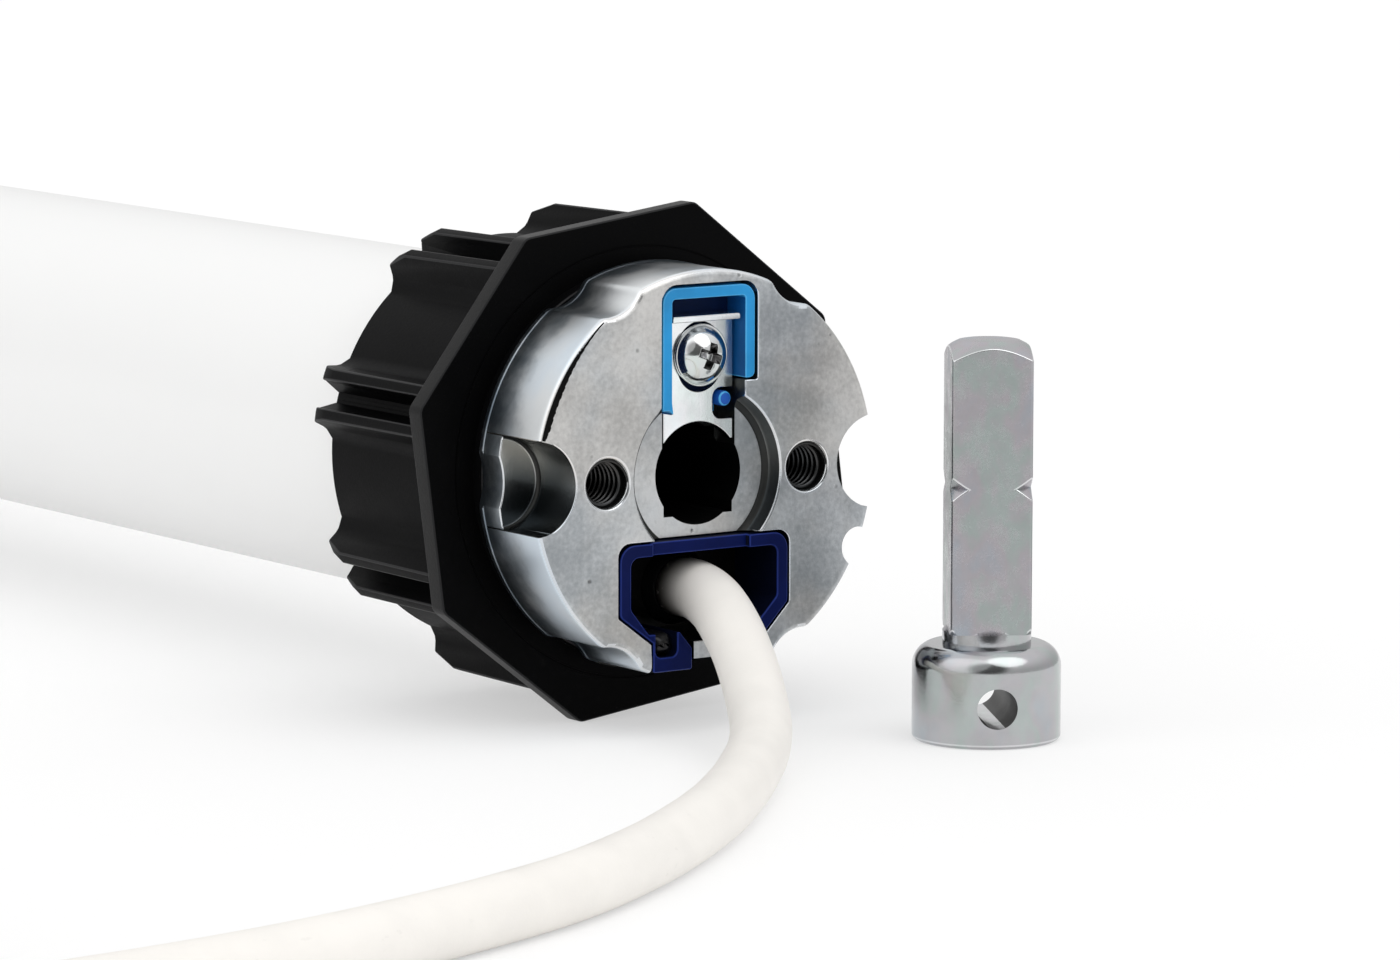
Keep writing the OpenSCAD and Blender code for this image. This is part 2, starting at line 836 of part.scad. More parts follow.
// Ball bearing as its two races and shields in one ring, on the rotor's shaft
module bearing(y0) {
    y1 = y0 + bearing_w - 0.1;
    color("silver")
    lathe_y([
        [shaft_d / 2 + run_gap, y0], [race_in, y0], [race_in, y0 + race_step], [race_out, y0 + race_step],
        [race_out, y0], [bearing_r, y0], [bearing_r, y1], [race_out, y1], [race_out, y1 - race_step],
        [race_in, y1 - race_step], [race_in, y1], [shaft_d / 2 + run_gap, y1]
    ]);
}

module front_end_shield() {
    end_shield(front_shield_y0, true);
}

module front_bearing() {
    bearing(front_shield_y0 + shield_t - bearing_w + run_gap);
}

module rear_end_shield() {
    end_shield(rear_shield_y0, false);
}

module rear_bearing() {
    bearing(rear_shield_y0 + run_gap);
}

module stator_core() {
    color("slategray")
    difference() {
        ring_y(inner_fit_r, stator_bore_r, core_y0, core_y1);
        around(slot_count)
            translate([slot_orbit, 0, 0])
            bar_y(slot_r, core_y0 - 1, core_y1 + 1);
    }
}

module stator_windings() {
    color("peru")
    union() {
        ring_y(inner_fit_r - 1, stator_bore_r + 1, core_y0 - overhang + 1, core_y0 - 0.2);
        ring_y(inner_fit_r - 1, stator_bore_r + 1, core_y1 + 0.2, core_y1 + overhang - 1);
        around(slot_count)
            translate([slot_orbit, 0, 0])
            bar_y(slot_r - seat_gap, core_y0 - 2, core_y1 + 2);
    }
}

module rotor_core() {
    color("lightslategray")
    ring_y(stator_bore_r - air_gap, shaft_d / 2 + push_gap, core_y0, core_y1);
}

module rotor_shaft() {
    color("gainsboro")
    union() {
        bar_y(shaft_d / 2, front_shield_y0 + 1, ring_y0 - 1);
        bar_y(sun_shaft_r, ring_y0 - 1 - eps, planet_y1[0]);
    }
}

module brake_housing() {
    color("lightgray")
    difference() {
        bar_y(inner_fit_r, brake_y0, front_plate_y0);
        bar_y(inner_fit_r - brake_wall, brake_y0 + brake_wall, front_plate_y0 + 1);
        bar_y(shaft_d / 2 + 1, brake_y0 - 1, brake_y0 + brake_wall + 1);
    }
}

module brake_spring() {
    color("gray")
    ring_y(12, 10, brake_y0 + brake_wall, brake_plate_y0 - stage_gap);
}

module brake_plate() {
    color("darkgray")
    ring_y(inner_fit_r - brake_wall - 0.5, shaft_d / 2 + 4, brake_plate_y0, brake_plate_y0 + brake_plate_t);
}

module brake_disc() {
    color("brown")
    union() {
        ring_y(
            brake_r, shaft_d / 2 + push_gap,
            brake_plate_y0 + brake_plate_t + 0.1, front_plate_y0 - lining_t - 0.1
        );
        ring_y(7, shaft_d / 2 + push_gap, brake_plate_y0, front_plate_y0 - 1);
    }
}

module brake_lining() {
    color("saddlebrown")
    ring_y(brake_r, 9, front_plate_y0 - lining_t, front_plate_y0);
}

module gearbox_front_plate() {
    color("lightgray")
    ring_y(inner_fit_r, shaft_d / 2 + 1, front_plate_y0, ring_y0);
}

module gearbox_ring() {
    color("gray")
    along_y(ring_y0, ring_y1)
    difference() {
        circle(r = inner_fit_r);
        gear_outline(ring_teeth, tooth_ded, tooth_add, 2 - tooth_share);
    }
}

module sun_gear() {
    color("goldenrod")
    along_y(ring_y0 + 0.2, planet_y1[0])
    difference() {
        gear_outline(sun_teeth, tooth_add, tooth_ded, tooth_share);
        circle(r = sun_shaft_r + push_gap, $fn = 36);
    }
}

// One planet gear of a stage, at its pin
module planet(stage, index) {
    color("khaki")
    rotate([0, -index * 360 / planets_per_stage, 0])
    translate([planet_orbit, 0, 0])
    along_y(planet_y0[stage], planet_y1[stage])
    difference() {
        gear_outline(planet_teeth, tooth_add, tooth_ded, tooth_share);
        circle(r = pin_r + run_gap, $fn = 36);
    }
}

// Disc of a carrier with its three planet pins
module carrier_disc(stage) {
    bar_y(gear_m * ring_teeth / 2 - tooth_add - 0.6, disc_y0[stage], disc_y1[stage]);
    around(planets_per_stage)
        translate([planet_orbit, 0, 0])
        bar_y(pin_r, planet_y0[stage] - 0.2, disc_y0[stage] + eps);
}

// Carrier whose rear carries the sun gear of the next stage
module carrier(stage) {
    color("darkkhaki")
    union() {
        carrier_disc(stage);
        along_y(disc_y1[stage] - eps, planet_y1[stage + 1])
        gear_outline(sun_teeth, tooth_add, tooth_ded, tooth_share);
    }
}

module output_carrier() {
    color("gainsboro")
    difference() {
        union() {
            carrier_disc(2);
            bar_y(output_r, disc_y1[2] - eps, wheel_y0 - 0.6);
            difference() {
                bar_y(drive_r, wheel_y0 - 0.6 - eps, output_end);
                for (side = [0, 180])
                    rotate([0, side, 0])
                    block([drive_flat, wheel_y0 - 0.6, -drive_r], [drive_r + 1, output_end + 1, drive_r]);
            }
        }
        bar_y(drive_screw_r + push_gap, output_end - 14, output_end + 1);
    }
}

module gearbox_end_cap() {
    color("dimgray")
    difference() {
        union() {
            bar_y(inner_fit_r, ring_y1, tube_y1 + eps);
            bar_y(tube_r, tube_y1, tube_y1 + cap_flange);
        }
        bar_y(output_r + 2 + push_gap, ring_y1 - 1, tube_y1 + cap_flange + 1);
        around(side_screws, 45)
            radial_bar(side_screw_r + push_gap, tube_in - side_screw_len - 2.1, tube_r, end_screw_y);
    }
}

module output_bush() {
    color("peru")
    ring_y(output_r + 2, output_r + run_gap, ring_y1, tube_y1 + cap_flange);
}

module gearbox_screws() {
    color("gainsboro")
    around(side_screws, 45) {
        radial_bar(side_screw_r, tube_in - side_screw_len - 2, tube_r + 0.2, end_screw_y);
        radial_bar(side_head_r, tube_r + 0.1, tube_r + 1.2, end_screw_y);
    }
}

module drive_wheel() {
    rim_r = barrel_r - 3;
    hub_out = drive_r + 4.5;
    color("black")
    difference() {
        union() {
            ring_y(barrel_r, rim_r, wheel_y0, wheel_y1);
            difference() {
                rib_ring(wheel_y0, wheel_y1);
                bar_y(rim_r, wheel_y0 - 1, wheel_y1 + 1);
            }
            bar_y(hub_out, wheel_y0, wheel_y1);
            intersection() {
                around(corner_count / 2, 90 - crown_turn)
                    block([-barrel_r + 1, wheel_y0, -1.25], [barrel_r - 1, wheel_y1 - 2, 1.25]);
                bar_y(rim_r + 1, wheel_y0, wheel_y1);
            }
            ring_y(rim_r + 1, hub_out - 1, wheel_y0, wheel_y0 + 3);
        }
        difference() {
            bar_y(drive_r + seat_gap, wheel_y0 - 1, wheel_y1 + 1);
            for (side = [0, 180])
                rotate([0, side, 0])
                block([drive_flat + seat_gap, wheel_y0 - 2, -drive_r], [drive_r + 1, wheel_y1 + 2, drive_r]);
        }
    }
}

module drive_screw() {
    color("gainsboro")
    difference() {
        lathe_y([
            [0, output_end - 13], [drive_screw_r, output_end - 13], [drive_screw_r, wheel_y1],
            [drive_r + 3, wheel_y1], [drive_r + 3, wheel_y1 + 1.5], [4.6, wheel_y1 + 1.5],
            [4.2, wheel_y1 + 3.6], [2.6, wheel_y1 + 4.6], [0, wheel_y1 + 4.9]
        ]);
        for (turn = [30, 120])
            rotate([0, turn, 0])
            block([-2.4, wheel_y1 + 3, -0.5], [2.4, wheel_y1 + 6, 0.5]);
    }
}

module mounting_stud() {
    base_r = stud_base_d / 2;
    neck_top = stud_base_h + 1.6;
    notch_z = neck_top + stud_h / 2;
    half = stud_w / 2;
    color("lightgray")
    translate([stud_at[0], stud_at[1], floor_z])
    rotate([0, 0, stud_turn])
    difference() {
        union() {
            rotate_extrude()
            polygon([
                [0, 0], [base_r - 0.5, 0], [base_r, 0.5], [base_r, stud_base_h - 2],
                [base_r - 0.3, stud_base_h - 1], [base_r - 1, stud_base_h - 0.3],
                [base_r - 2, stud_base_h], [half + 0.5, stud_base_h], [half + 0.5, neck_top],
                [half - 0.1, neck_top + 0.8], [0, neck_top + 0.8]
            ]);
            intersection() {
                translate([-half, -half, neck_top])
                cube([stud_w, stud_w, stud_h]);
                rotate_extrude()
                polygon([
                    [0, neck_top], [half * 1.3, neck_top], [half * 1.5, neck_top + 1.5],
                    [half * 1.5, neck_top + stud_h - 2.6], [half * 0.8, neck_top + stud_h],
                    [0, neck_top + stud_h]
                ]);
            }
        }
        rotate_extrude()
        polygon([[half * 1.15, notch_z], [half * 1.6, notch_z - 2.6], [half * 1.6, notch_z + 2.6]]);
        translate([0, base_r + 1, stud_hole_z])
        rotate([90, 0, 0])
        cylinder(d = stud_hole_d, h = stud_base_d + 2);
    }
}

// Direction of a route at point i
function heading(path, i) =
    let (a = path[max(i - 1, 0)])
    let (b = path[min(i + 1, len(path) - 1)])
    (b - a) / norm(b - a);

// Ring of points around a route's point, square to its direction
function ring_at(path, i, r, sides) =
    let (t = heading(path, i))
    let (side = cross(t, [0, 0, 1]) / norm(cross(t, [0, 0, 1])))
    let (up = cross(side, t))
    [for (k = [0:sides - 1]) path[i] + r * (cos(k * 360 / sides) * side + sin(k * 360 / sides) * up)];

// Tube of one polyhedron along a route
module sweep_tube(path, r, sides) {
    rings = len(path);
    points = [for (i = [0:rings - 1]) for (p = ring_at(path, i, r, sides)) p];
    start_cap = [for (k = [1:sides - 2]) [0, k + 1, k]];
    last = (rings - 1) * sides;
    end_cap = [for (k = [1:sides - 2]) [last, last + k, last + k + 1]];
    walls = [
        for (i = [0:rings - 2])
        for (k = [0:sides - 1])
        for (f = [
            [i * sides + k, i * sides + (k + 1) % sides, (i + 1) * sides + k],
            [i * sides + (k + 1) % sides, (i + 1) * sides + (k + 1) % sides, (i + 1) * sides + k]
        ]) f
    ];
    polyhedron(points = points, faces = concat(start_cap, end_cap, walls));
}

module cable_lead() {
    color("ivory")
    sweep_tube(lead_route, cable_d / 2, lead_sides);
}

module cable_coil() {
    color("ivory")
    sweep_tube(coil_path, cable_d / 2, coil_sides);
}

module cable_tail() {
    color("ivory")
    sweep_tube(tail_route, cable_d / 2, lead_sides);
}

// Three cores that leave the sheath side by side and spread, each with its ferrule
module cable_cores() {
    last = len(tail_route) - 1;
    forward = heading(tail_route, last);
    turn = atan2(forward[1], forward[0]);
    for (side = [-1, 0, 1])
        translate(tail_route[last])
        rotate([0, 90, turn])
        translate([side == 0 ? -1.2 : 0.8, side * 2.1, push_gap]) {
            color(side < 0 ? "saddlebrown" : side > 0 ? "royalblue" : "yellowgreen")
            union() {
                cylinder(r = core_r + seat_gap, h = core_stub);
                translate([0, 0, core_stub - 0.3])
                rotate([-side * core_spread, 0, 0])
                cylinder(r = core_r, h = core_tail - core_stub);
            }
            color("gainsboro")
            translate([0, 0, core_stub - 0.3])
            rotate([-side * core_spread, 0, 0])
            translate([0, 0, core_tail - core_stub])
            cylinder(r = ferrule_r, h = ferrule_len);
        }
}

head_casting();
head_seal();
head_screws();
release_clip();
lock_plate();
clip_screw();
cable_insert();
insert_latch();
cable_plug();
plug_contacts();
contact_socket();
crown_ring();
motor_tube();
electronics_carrier();
circuit_board();
board_relays();
board_transformer();
receiver_module();
antenna_wire();
capacitor_holder();
motor_capacitor();
motor_wires();
front_end_shield();
front_bearing();
stator_core();
stator_windings();
rotor_core();
rotor_shaft();
rear_bearing();
rear_end_shield();
brake_housing();
brake_spring();
brake_plate();
brake_disc();
brake_lining();
gearbox_front_plate();
gearbox_ring();
sun_gear();
planet(0, 0);  // planet_1a
planet(0, 1);  // planet_1b
planet(0, 2);  // planet_1c
planet(1, 0);  // planet_2a
planet(1, 1);  // planet_2b
planet(1, 2);  // planet_2c
planet(2, 0);  // planet_3a
planet(2, 1);  // planet_3b
planet(2, 2);  // planet_3c
carrier(0);  // carrier_1
carrier(1);  // carrier_2
output_carrier();
gearbox_end_cap();
output_bush();
gearbox_screws();
drive_wheel();
drive_screw();
mounting_stud();
cable_lead();
cable_coil();
cable_tail();
cable_cores();
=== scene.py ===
"""Looks of a tubular roller blind motor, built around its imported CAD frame.

The classes hold their sizes in millimetres, in the frame's own axes: Y runs along the tube, away from the
head, X points right and Z up. Meshes are made in millimetres and scaled to metres when they are finished.
"""
import logging
import math
from collections.abc import Callable, Iterable, Sequence
from dataclasses import dataclass
from enum import Enum, IntEnum
from functools import cache
from typing import Any

import bmesh
import bpy
from mathutils import Matrix, Vector


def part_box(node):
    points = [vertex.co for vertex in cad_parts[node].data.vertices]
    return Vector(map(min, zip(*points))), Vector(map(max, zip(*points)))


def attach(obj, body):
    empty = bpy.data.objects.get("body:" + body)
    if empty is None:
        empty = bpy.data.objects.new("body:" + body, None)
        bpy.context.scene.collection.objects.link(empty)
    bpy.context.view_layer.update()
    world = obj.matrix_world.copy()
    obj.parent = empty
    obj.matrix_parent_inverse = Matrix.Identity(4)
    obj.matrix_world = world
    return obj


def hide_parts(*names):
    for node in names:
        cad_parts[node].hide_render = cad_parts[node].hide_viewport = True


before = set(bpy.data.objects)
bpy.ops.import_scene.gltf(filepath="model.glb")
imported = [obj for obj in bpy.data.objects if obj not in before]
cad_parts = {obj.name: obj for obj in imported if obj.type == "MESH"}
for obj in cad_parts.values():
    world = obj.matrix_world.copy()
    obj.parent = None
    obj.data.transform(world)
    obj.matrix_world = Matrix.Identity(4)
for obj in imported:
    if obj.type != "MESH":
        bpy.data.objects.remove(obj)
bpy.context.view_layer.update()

LOG = logging.getLogger("blind_motor")
MM = 0.001
EPS = 0.01
TINY = 1e-6
NEAR = 1e-4
# Distances in millimetres at which points and edges merge, and angles at which edges round or stay sharp
MERGE = 0.02
SLIVER = 0.005
ROUND_FROM = math.radians(32)
SHARP_FROM = math.radians(40)

Colour = tuple[float, float, float]
Point = tuple[float, float]
Point3 = tuple[float, float, float]


class Body(Enum):
    """Bodies of the frame that visible pieces ride on."""

    MOTOR = "motor"
    CROWN = "crown"
    PLATE = "lock_plate"
    OUTPUT = "output"
    STUD = "stud"


class Axis(Enum):
    """Axes that a solid is turned about or split along."""

    X = "X"
    Y = "Y"
    Z = "Z"


class Combine(Enum):
    """Ways in which solids are combined."""

    JOIN = "UNION"
    CUT = "DIFFERENCE"
    KEEP = "INTERSECT"


# Shader graphs


class Value:
    """A shader number. Python's operators on it add Math nodes."""

    def __init__(self, graph: "Graph", socket: bpy.types.NodeSocket) -> None:
        """Wraps an output socket of a graph."""
        self.graph = graph
        self.socket = socket

    def math(self, operation: str, *operands: Any) -> "Value":
        """Result of one Math node on the operands."""
        made = self.graph.node("ShaderNodeMath", {"operation": operation}, dict(enumerate(operands)))
        return Value(self.graph, made.outputs[0])

    def __add__(self, other: Any) -> "Value":
        """Sum."""
        return self.math("ADD", self, other)

    def __radd__(self, other: Any) -> "Value":
        """Sum, reflected."""
        return self.math("ADD", other, self)

    def __sub__(self, other: Any) -> "Value":
        """Difference."""
        return self.math("SUBTRACT", self, other)

    def __rsub__(self, other: Any) -> "Value":
        """Difference, reflected."""
        return self.math("SUBTRACT", other, self)

    def __mul__(self, other: Any) -> "Value":
        """Product."""
        return self.math("MULTIPLY", self, other)

    def __rmul__(self, other: Any) -> "Value":
        """Product, reflected."""
        return self.math("MULTIPLY", other, self)

    def rise(self, low: float, high: float) -> "Value":
        """Smooth step from 0 to 1.

        Args:
            low: where it starts.
            high: where it ends.

        Returns:
            The step's value.
        """
        made = self.graph.node(
            "ShaderNodeMapRange",
            {"interpolation_type": "SMOOTHSTEP"},
            {"Value": self, "From Min": low, "From Max": high},
        )
        return Value(self.graph, made.outputs["Result"])


class Graph:
    """The node graph of a material or of the world."""

    def __init__(self, owner: bpy.types.Material | bpy.types.World) -> None:
        """Turns the owner's nodes on and finds its main shader.

        Args:
            owner: the material or world.
        """
        owner.use_nodes = True
        self.tree = owner.node_tree
        self.surface = self.tree.nodes.get("Principled BSDF") or self.tree.nodes.get("Background")
        self.place = self.node("ShaderNodeTexCoord").outputs["Object"]

    def node(
        self,
        kind: str,
        settings: dict[str, Any] | None = None,
        sockets: dict[str | int, Any] | None = None,
    ) -> bpy.types.Node:
        """Adds a node.

        Args:
            kind: type of the node.
            settings: its settings, which are set first; "stops" holds a ramp's places and colours.
            sockets: values or links of its inputs, by name or number.

        Returns:
            The new node.
        """
        made = self.tree.nodes.new(kind)
        for key, value in (settings or {}).items():
            if key == "stops":
                elements = made.color_ramp.elements
                while len(elements) < len(value):
                    elements.new(1.0)
                for element, (place, colour) in zip(elements, value):
                    element.position = place
                    element.color = (*colour, 1.0)
            else:
                setattr(made, key, value)
        for key, value in (sockets or {}).items():
            self.plug(made.inputs[key], value)
        return made

    def plug(self, socket: bpy.types.NodeSocket, value: Any) -> None:
        """Links a value or an output to a socket, or sets the socket's own number or colour.

        Args:
            socket: the input.
            value: a Value, an output socket, a number or a colour.
        """
        if isinstance(value, Value):
            self.tree.links.new(value.socket, socket)
        elif isinstance(value, bpy.types.NodeSocket):
            self.tree.links.new(value, socket)
        elif socket.type == "RGBA" and len(value) == 3:
            socket.default_value = (*value, 1.0)
        else:
            socket.default_value = value

    def rays(self, *kinds: str) -> Value:
        """1 for rays of the named kinds, 0 for others.

        Args:
            kinds: their names in the Light Path node, such as Camera.

        Returns:
            The mask.
        """
        path = self.node("ShaderNodeLightPath")
        first, *others = [Value(self, path.outputs[f"Is {kind} Ray"]) for kind in kinds]
        for other in others:
            first = first.math("MAXIMUM", first, other)
        return first

    def coordinate(self, axis: Axis) -> Value:
        """One object coordinate, in metres."""
        parts = self.node("ShaderNodeSeparateXYZ", {}, {0: self.place})
        return Value(self, parts.outputs[axis.value])

    def at(self, stretch: Point3 = (1, 1, 1), shift: float = 0.0) -> bpy.types.NodeSocket:
        """Object coordinates, stretched and shifted.

        Args:
            stretch: factor along each axis.
            shift: what is added along each axis, in metres.

        Returns:
            The coordinates.
        """
        return self.node(
            "ShaderNodeVectorMath",
            {"operation": "MULTIPLY_ADD"},
            {0: self.place, 1: stretch, 2: (shift, shift, shift)},
        ).outputs[0]

    def noise(
        self, scale: float, detail: float = 2.0, stretch: Point3 = (1, 1, 1), shift: float = 0.0
    ) -> Value:
        """Noise with features of about 1/scale metres."""
        sockets = {"Vector": self.at(stretch, shift), "Scale": scale, "Detail": detail, "Roughness": 0.55}
        return Value(self, self.node("ShaderNodeTexNoise", {}, sockets).outputs[0])

    def cells(self, scale: float, shift: float = 0.0) -> Value:
        """Distance to the nearest of scattered points, as a share of their spacing."""
        sockets = {"Vector": self.at(shift=shift), "Scale": scale}
        return Value(self, self.node("ShaderNodeTexVoronoi", {}, sockets).outputs["Distance"])

    def mix(self, factor: Any, first: Any, second: Any) -> bpy.types.NodeSocket:
        """Mix of two colours."""
        made = self.node("ShaderNodeMix", {"data_type": "RGBA"}, {0: factor, 6: first, 7: second})
        return made.outputs[2]

    def ramp(self, factor: Value, *stops: tuple[float, Colour]) -> bpy.types.NodeSocket:
        """Colour ramp of a value."""
        return self.node("ShaderNodeValToRGB", {"stops": stops}, {0: factor}).outputs[0]

    def bump(self, height: Value, depth_mm: float) -> bpy.types.NodeSocket:
        """Normal of a surface whose height changes by depth_mm over a height of 1."""
        sockets = {"Height": height, "Strength": 1.0, "Distance": depth_mm * MM}
        return self.node("ShaderNodeBump", {}, sockets).outputs[0]

    def paint(self, **sockets: Any) -> None:
        """Sets the main shader's inputs; an underscore stands for a space."""
        for name, value in sockets.items():
            self.plug(self.surface.inputs[name.replace("_", " ")], value)


# Finishes


@dataclass(frozen=True)
class Finish:
    """What each finish has: a name, a colour and a roughness."""

    name: str
    colour: Colour
    roughness: float

    def shade(self, amount: float, warmth: float = 0.0) -> Colour:
        """The finish's colour, made lighter or darker, and warmer or cooler."""
        tints = (1 + warmth, 1.0, 1 - warmth)
        return tuple(min(1.0, c * amount * tint) for c, tint in zip(self.colour, tints))

    def tinted(self, red: float, green: float, blue: float) -> Colour:
        """The finish's colour with each channel multiplied."""
        return tuple(c * f for c, f in zip(self.colour, (red, green, blue)))

    def dress(self, graph: Graph) -> None:
        """Fills the graph. Each kind of finish has its own way."""
        raise NotImplementedError


@cache
def material_of(finish: Finish) -> bpy.types.Material:
    """The finish's material, made once.

    Args:
        finish: what it is made from.

    Returns:
        The material.
    """
    made = bpy.data.materials.new(finish.name)
    finish.dress(Graph(made))
    return made


@dataclass(frozen=True)
class CastMetal(Finish):
    """Die-cast zinc or alloy: cloudy tone, gritty grain and small pits."""

    grit: float = 1.0
    pits: float = 1.0
    clouds: float = 0.2
    # Painted shade: how much the colour darkens towards the bottom of the piece.
    shadow: float = 0.0
    # Painted shade: how much the colour darkens and turns bluer towards the back, next to the crown.
    mottling: float = 0.0

    def dress(self, graph: Graph) -> None:
        """Clouds and grit change tone and gloss, grit and pits the height; painted shade darkens back and
        bottom.

        Args:
            graph: the material's graph.
        """
        clouds = graph.noise(85, 5) * 0.6 + graph.noise(34, 2, shift=7.0) * 0.4
        patches = graph.noise(310, 3, shift=4.0)
        grit = graph.noise(1500, 4)
        dust = graph.noise(4200, 2)
        pitted = graph.noise(140, 2, shift=9.0).rise(0.5, 0.62)
        pit = (1 - graph.cells(330, 2.0).rise(0.03, 0.13)) * pitted
        tone = (clouds * 0.72 + patches * 0.12 + grit * (0.24 * self.grit)).rise(0.38, 0.68)
        hue = graph.noise(52, 3, shift=21.0).rise(0.38, 0.62)
        dull = graph.mix(hue, self.shade(1 - self.clouds, -0.05), self.shade(1 - self.clouds * 0.8, 0.03))
        bright, brighter = 1 + self.clouds * 0.7, 1 + self.clouds * 0.8
        clean = graph.mix(hue, self.shade(bright, -0.02), self.shade(brighter, 0.03))
        # Painted shade: darker and bluer towards the back, with a mottled edge.
        back = graph.coordinate(Axis.Y) + (graph.noise(190, 5, shift=13.0) - 0.5) * 0.016
        painted_back_shade = back.rise(0.0045, 0.0135) * self.mottling
        light = graph.mix(painted_back_shade, graph.mix(tone, dull, clean), self.shade(0.13, -0.3))
        # Painted shade: the colour darkens towards the bottom.
        painted_shade = (1 - graph.coordinate(Axis.Z).rise(-0.003, 0.004)) * self.shadow
        body = graph.mix(painted_shade, light, self.shade(0.2, -0.15))
        patchy, dusty = 0.04 + 0.13 * self.grit, 0.2 * self.grit
        graph.paint(
            Base_Color=graph.mix(pit * (0.75 * self.pits), body, self.shade(0.25)),
            Metallic=1.0,
            Roughness=self.roughness + (patches - 0.5) * patchy + (dust - 0.5) * dusty,
            Normal=graph.bump((grit * 0.7 + dust * 0.3) * self.grit - pit * (2.2 * self.pits), 0.045),
        )


@dataclass(frozen=True)
class PlatedMetal(Finish):
    """Zinc plating: even sheen with a faint shift of tint, fine drawing lines and dull patches."""

    tint: float = 0.0
    lines: float = 0.0
    matte: float = 0.0

    def dress(self, graph: Graph) -> None:
        """Slow noise shifts the tint; stretched noise draws the lines.

        Args:
            graph: the material's graph.
        """
        slow = graph.noise(130, 4, (1, 1, 0.6))
        fine = graph.noise(3600, 2)
        drawn = graph.noise(1400, 2, (1, 1, 0.03))
        warm, cool = self.tinted(1.09, 0.955, 0.99), self.tinted(0.93, 0.99, 1.08)
        green = self.tinted(0.93, 1.05, 0.96)
        shifted = graph.ramp(slow, (0.32, cool), (0.44, warm), (0.53, green), (0.62, warm), (0.74, cool))
        drift = graph.noise(260, 4, shift=3.0).rise(0.3, 0.7)
        plain = graph.mix(drift, self.shade(0.93), self.shade(1.05))
        graph.paint(
            Base_Color=graph.mix(self.tint, plain, shifted),
            Metallic=1.0,
            Roughness=self.roughness + (graph.noise(420, 3) - 0.5) * 0.22 + (fine - 0.5) * self.matte,
            Normal=graph.bump(fine * (0.25 + self.matte) + drawn * self.lines, 0.012),
        )


@dataclass(frozen=True)
class Moulded(Finish):
    """Moulded plastic: fine spark-eroded grain, flow clouds and specks of dust."""

    specular: float = 0.4
    grain: float = 1.0
    dust: float = 0.03

    def dress(self, graph: Graph) -> None:
        """Flow clouds change tone and gloss; grain changes the height.

        Args:
            graph: the material's graph.
        """
        flow = graph.noise(120, 4, (1, 0.35, 1))
        grain = graph.noise(3000, 3)
        specks = (1 - graph.cells(900).rise(0.04, 0.09)) * graph.noise(200, 2).rise(0.55, 0.7)
        body = graph.mix(flow.rise(0.3, 0.7), self.shade(0.86), self.shade(1.14))
        graph.surface.inputs["Specular IOR Level"].default_value = self.specular
        graph.paint(
            Base_Color=graph.mix(specks * self.dust, body, (0.5, 0.5, 0.5)),
            Roughness=self.roughness + (flow - 0.5) * 0.2 + (grain - 0.5) * 0.15,
            Normal=graph.bump(grain * self.grain, 0.02),
        )


@dataclass(frozen=True)
class PowderCoat(Finish):
    """Sprayed and baked coat: a faint orange peel and a satin top."""

    def dress(self, graph: Graph) -> None:
        """Two sizes of peel, and a slow drift of tone.

        Args:
            graph: the material's graph.
        """
        peel = graph.noise(700, 2) * 0.7 + graph.noise(1700, 2) * 0.3
        drift = graph.noise(30, 3, (1, 0.3, 1))
        graph.surface.inputs["Coat Roughness"].default_value = 0.2
        graph.paint(
            Base_Color=graph.mix(drift.rise(0.3, 0.7), self.shade(0.985), self.shade(1.0)),
            Roughness=self.roughness + (peel - 0.5) * 0.12,
            Coat_Weight=0.35,
            Normal=graph.bump(peel, 0.012),
        )


@dataclass(frozen=True)
class Sheath(Finish):
    """Soft cable sheath: nearly smooth, with dull rubbed patches and faint scuffs."""

    def dress(self, graph: Graph) -> None:
        """Rubbed patches change gloss and tone; a low ripple changes the height; painted shade at the
        outlet.

        Args:
            graph: the material's graph.
        """
        rubbed = graph.noise(130, 4)
        scuff = graph.noise(900, 3, (0.4, 1, 1)).rise(0.64, 0.72) * graph.noise(60, 2).rise(0.5, 0.65)
        ripple = graph.noise(220, 2) * 0.7 + graph.noise(2600, 2) * 0.3
        clean = graph.mix(rubbed.rise(0.3, 0.7), self.shade(0.97), self.shade(1.01))
        # Painted shade: the sheath darkens nearly to black where it runs back into the outlet.
        outlet = graph.coordinate(Axis.X).rise(-0.03, -0.02)
        painted_shade = graph.coordinate(Axis.Y).rise(0.002, 0.0075) * outlet
        body = graph.mix(painted_shade, clean, (0.012, 0.009, 0.007))
        graph.surface.inputs["Specular IOR Level"].default_value = 0.35
        graph.paint(
            Base_Color=graph.mix(scuff * 0.25, body, self.shade(0.8)),
            Roughness=self.roughness + (rubbed - 0.5) * 0.2,
            Normal=graph.bump(ripple, 0.03),
        )


@dataclass(frozen=True)
class TwoTone(Finish):
    """Insulation of the earth core: two colours that wind round it."""

    second: Colour = (0.75, 0.7, 0.03)

    def dress(self, graph: Graph) -> None:
        """A slow slanting band of the second colour.

        Args:
            graph: the material's graph.
        """
        sockets = {"Vector": graph.at(), "Scale": 90.0, "Distortion": 0.4}
        wave = graph.node("ShaderNodeTexWave", {}, sockets)
        band = Value(graph, wave.outputs["Fac"]).rise(0.45, 0.55)
        graph.paint(
            Base_Color=graph.mix(band, self.colour, self.second),
            Roughness=self.roughness + (graph.noise(800) - 0.5) * 0.1,
            Normal=graph.bump(graph.noise(1500), 0.01),
        )


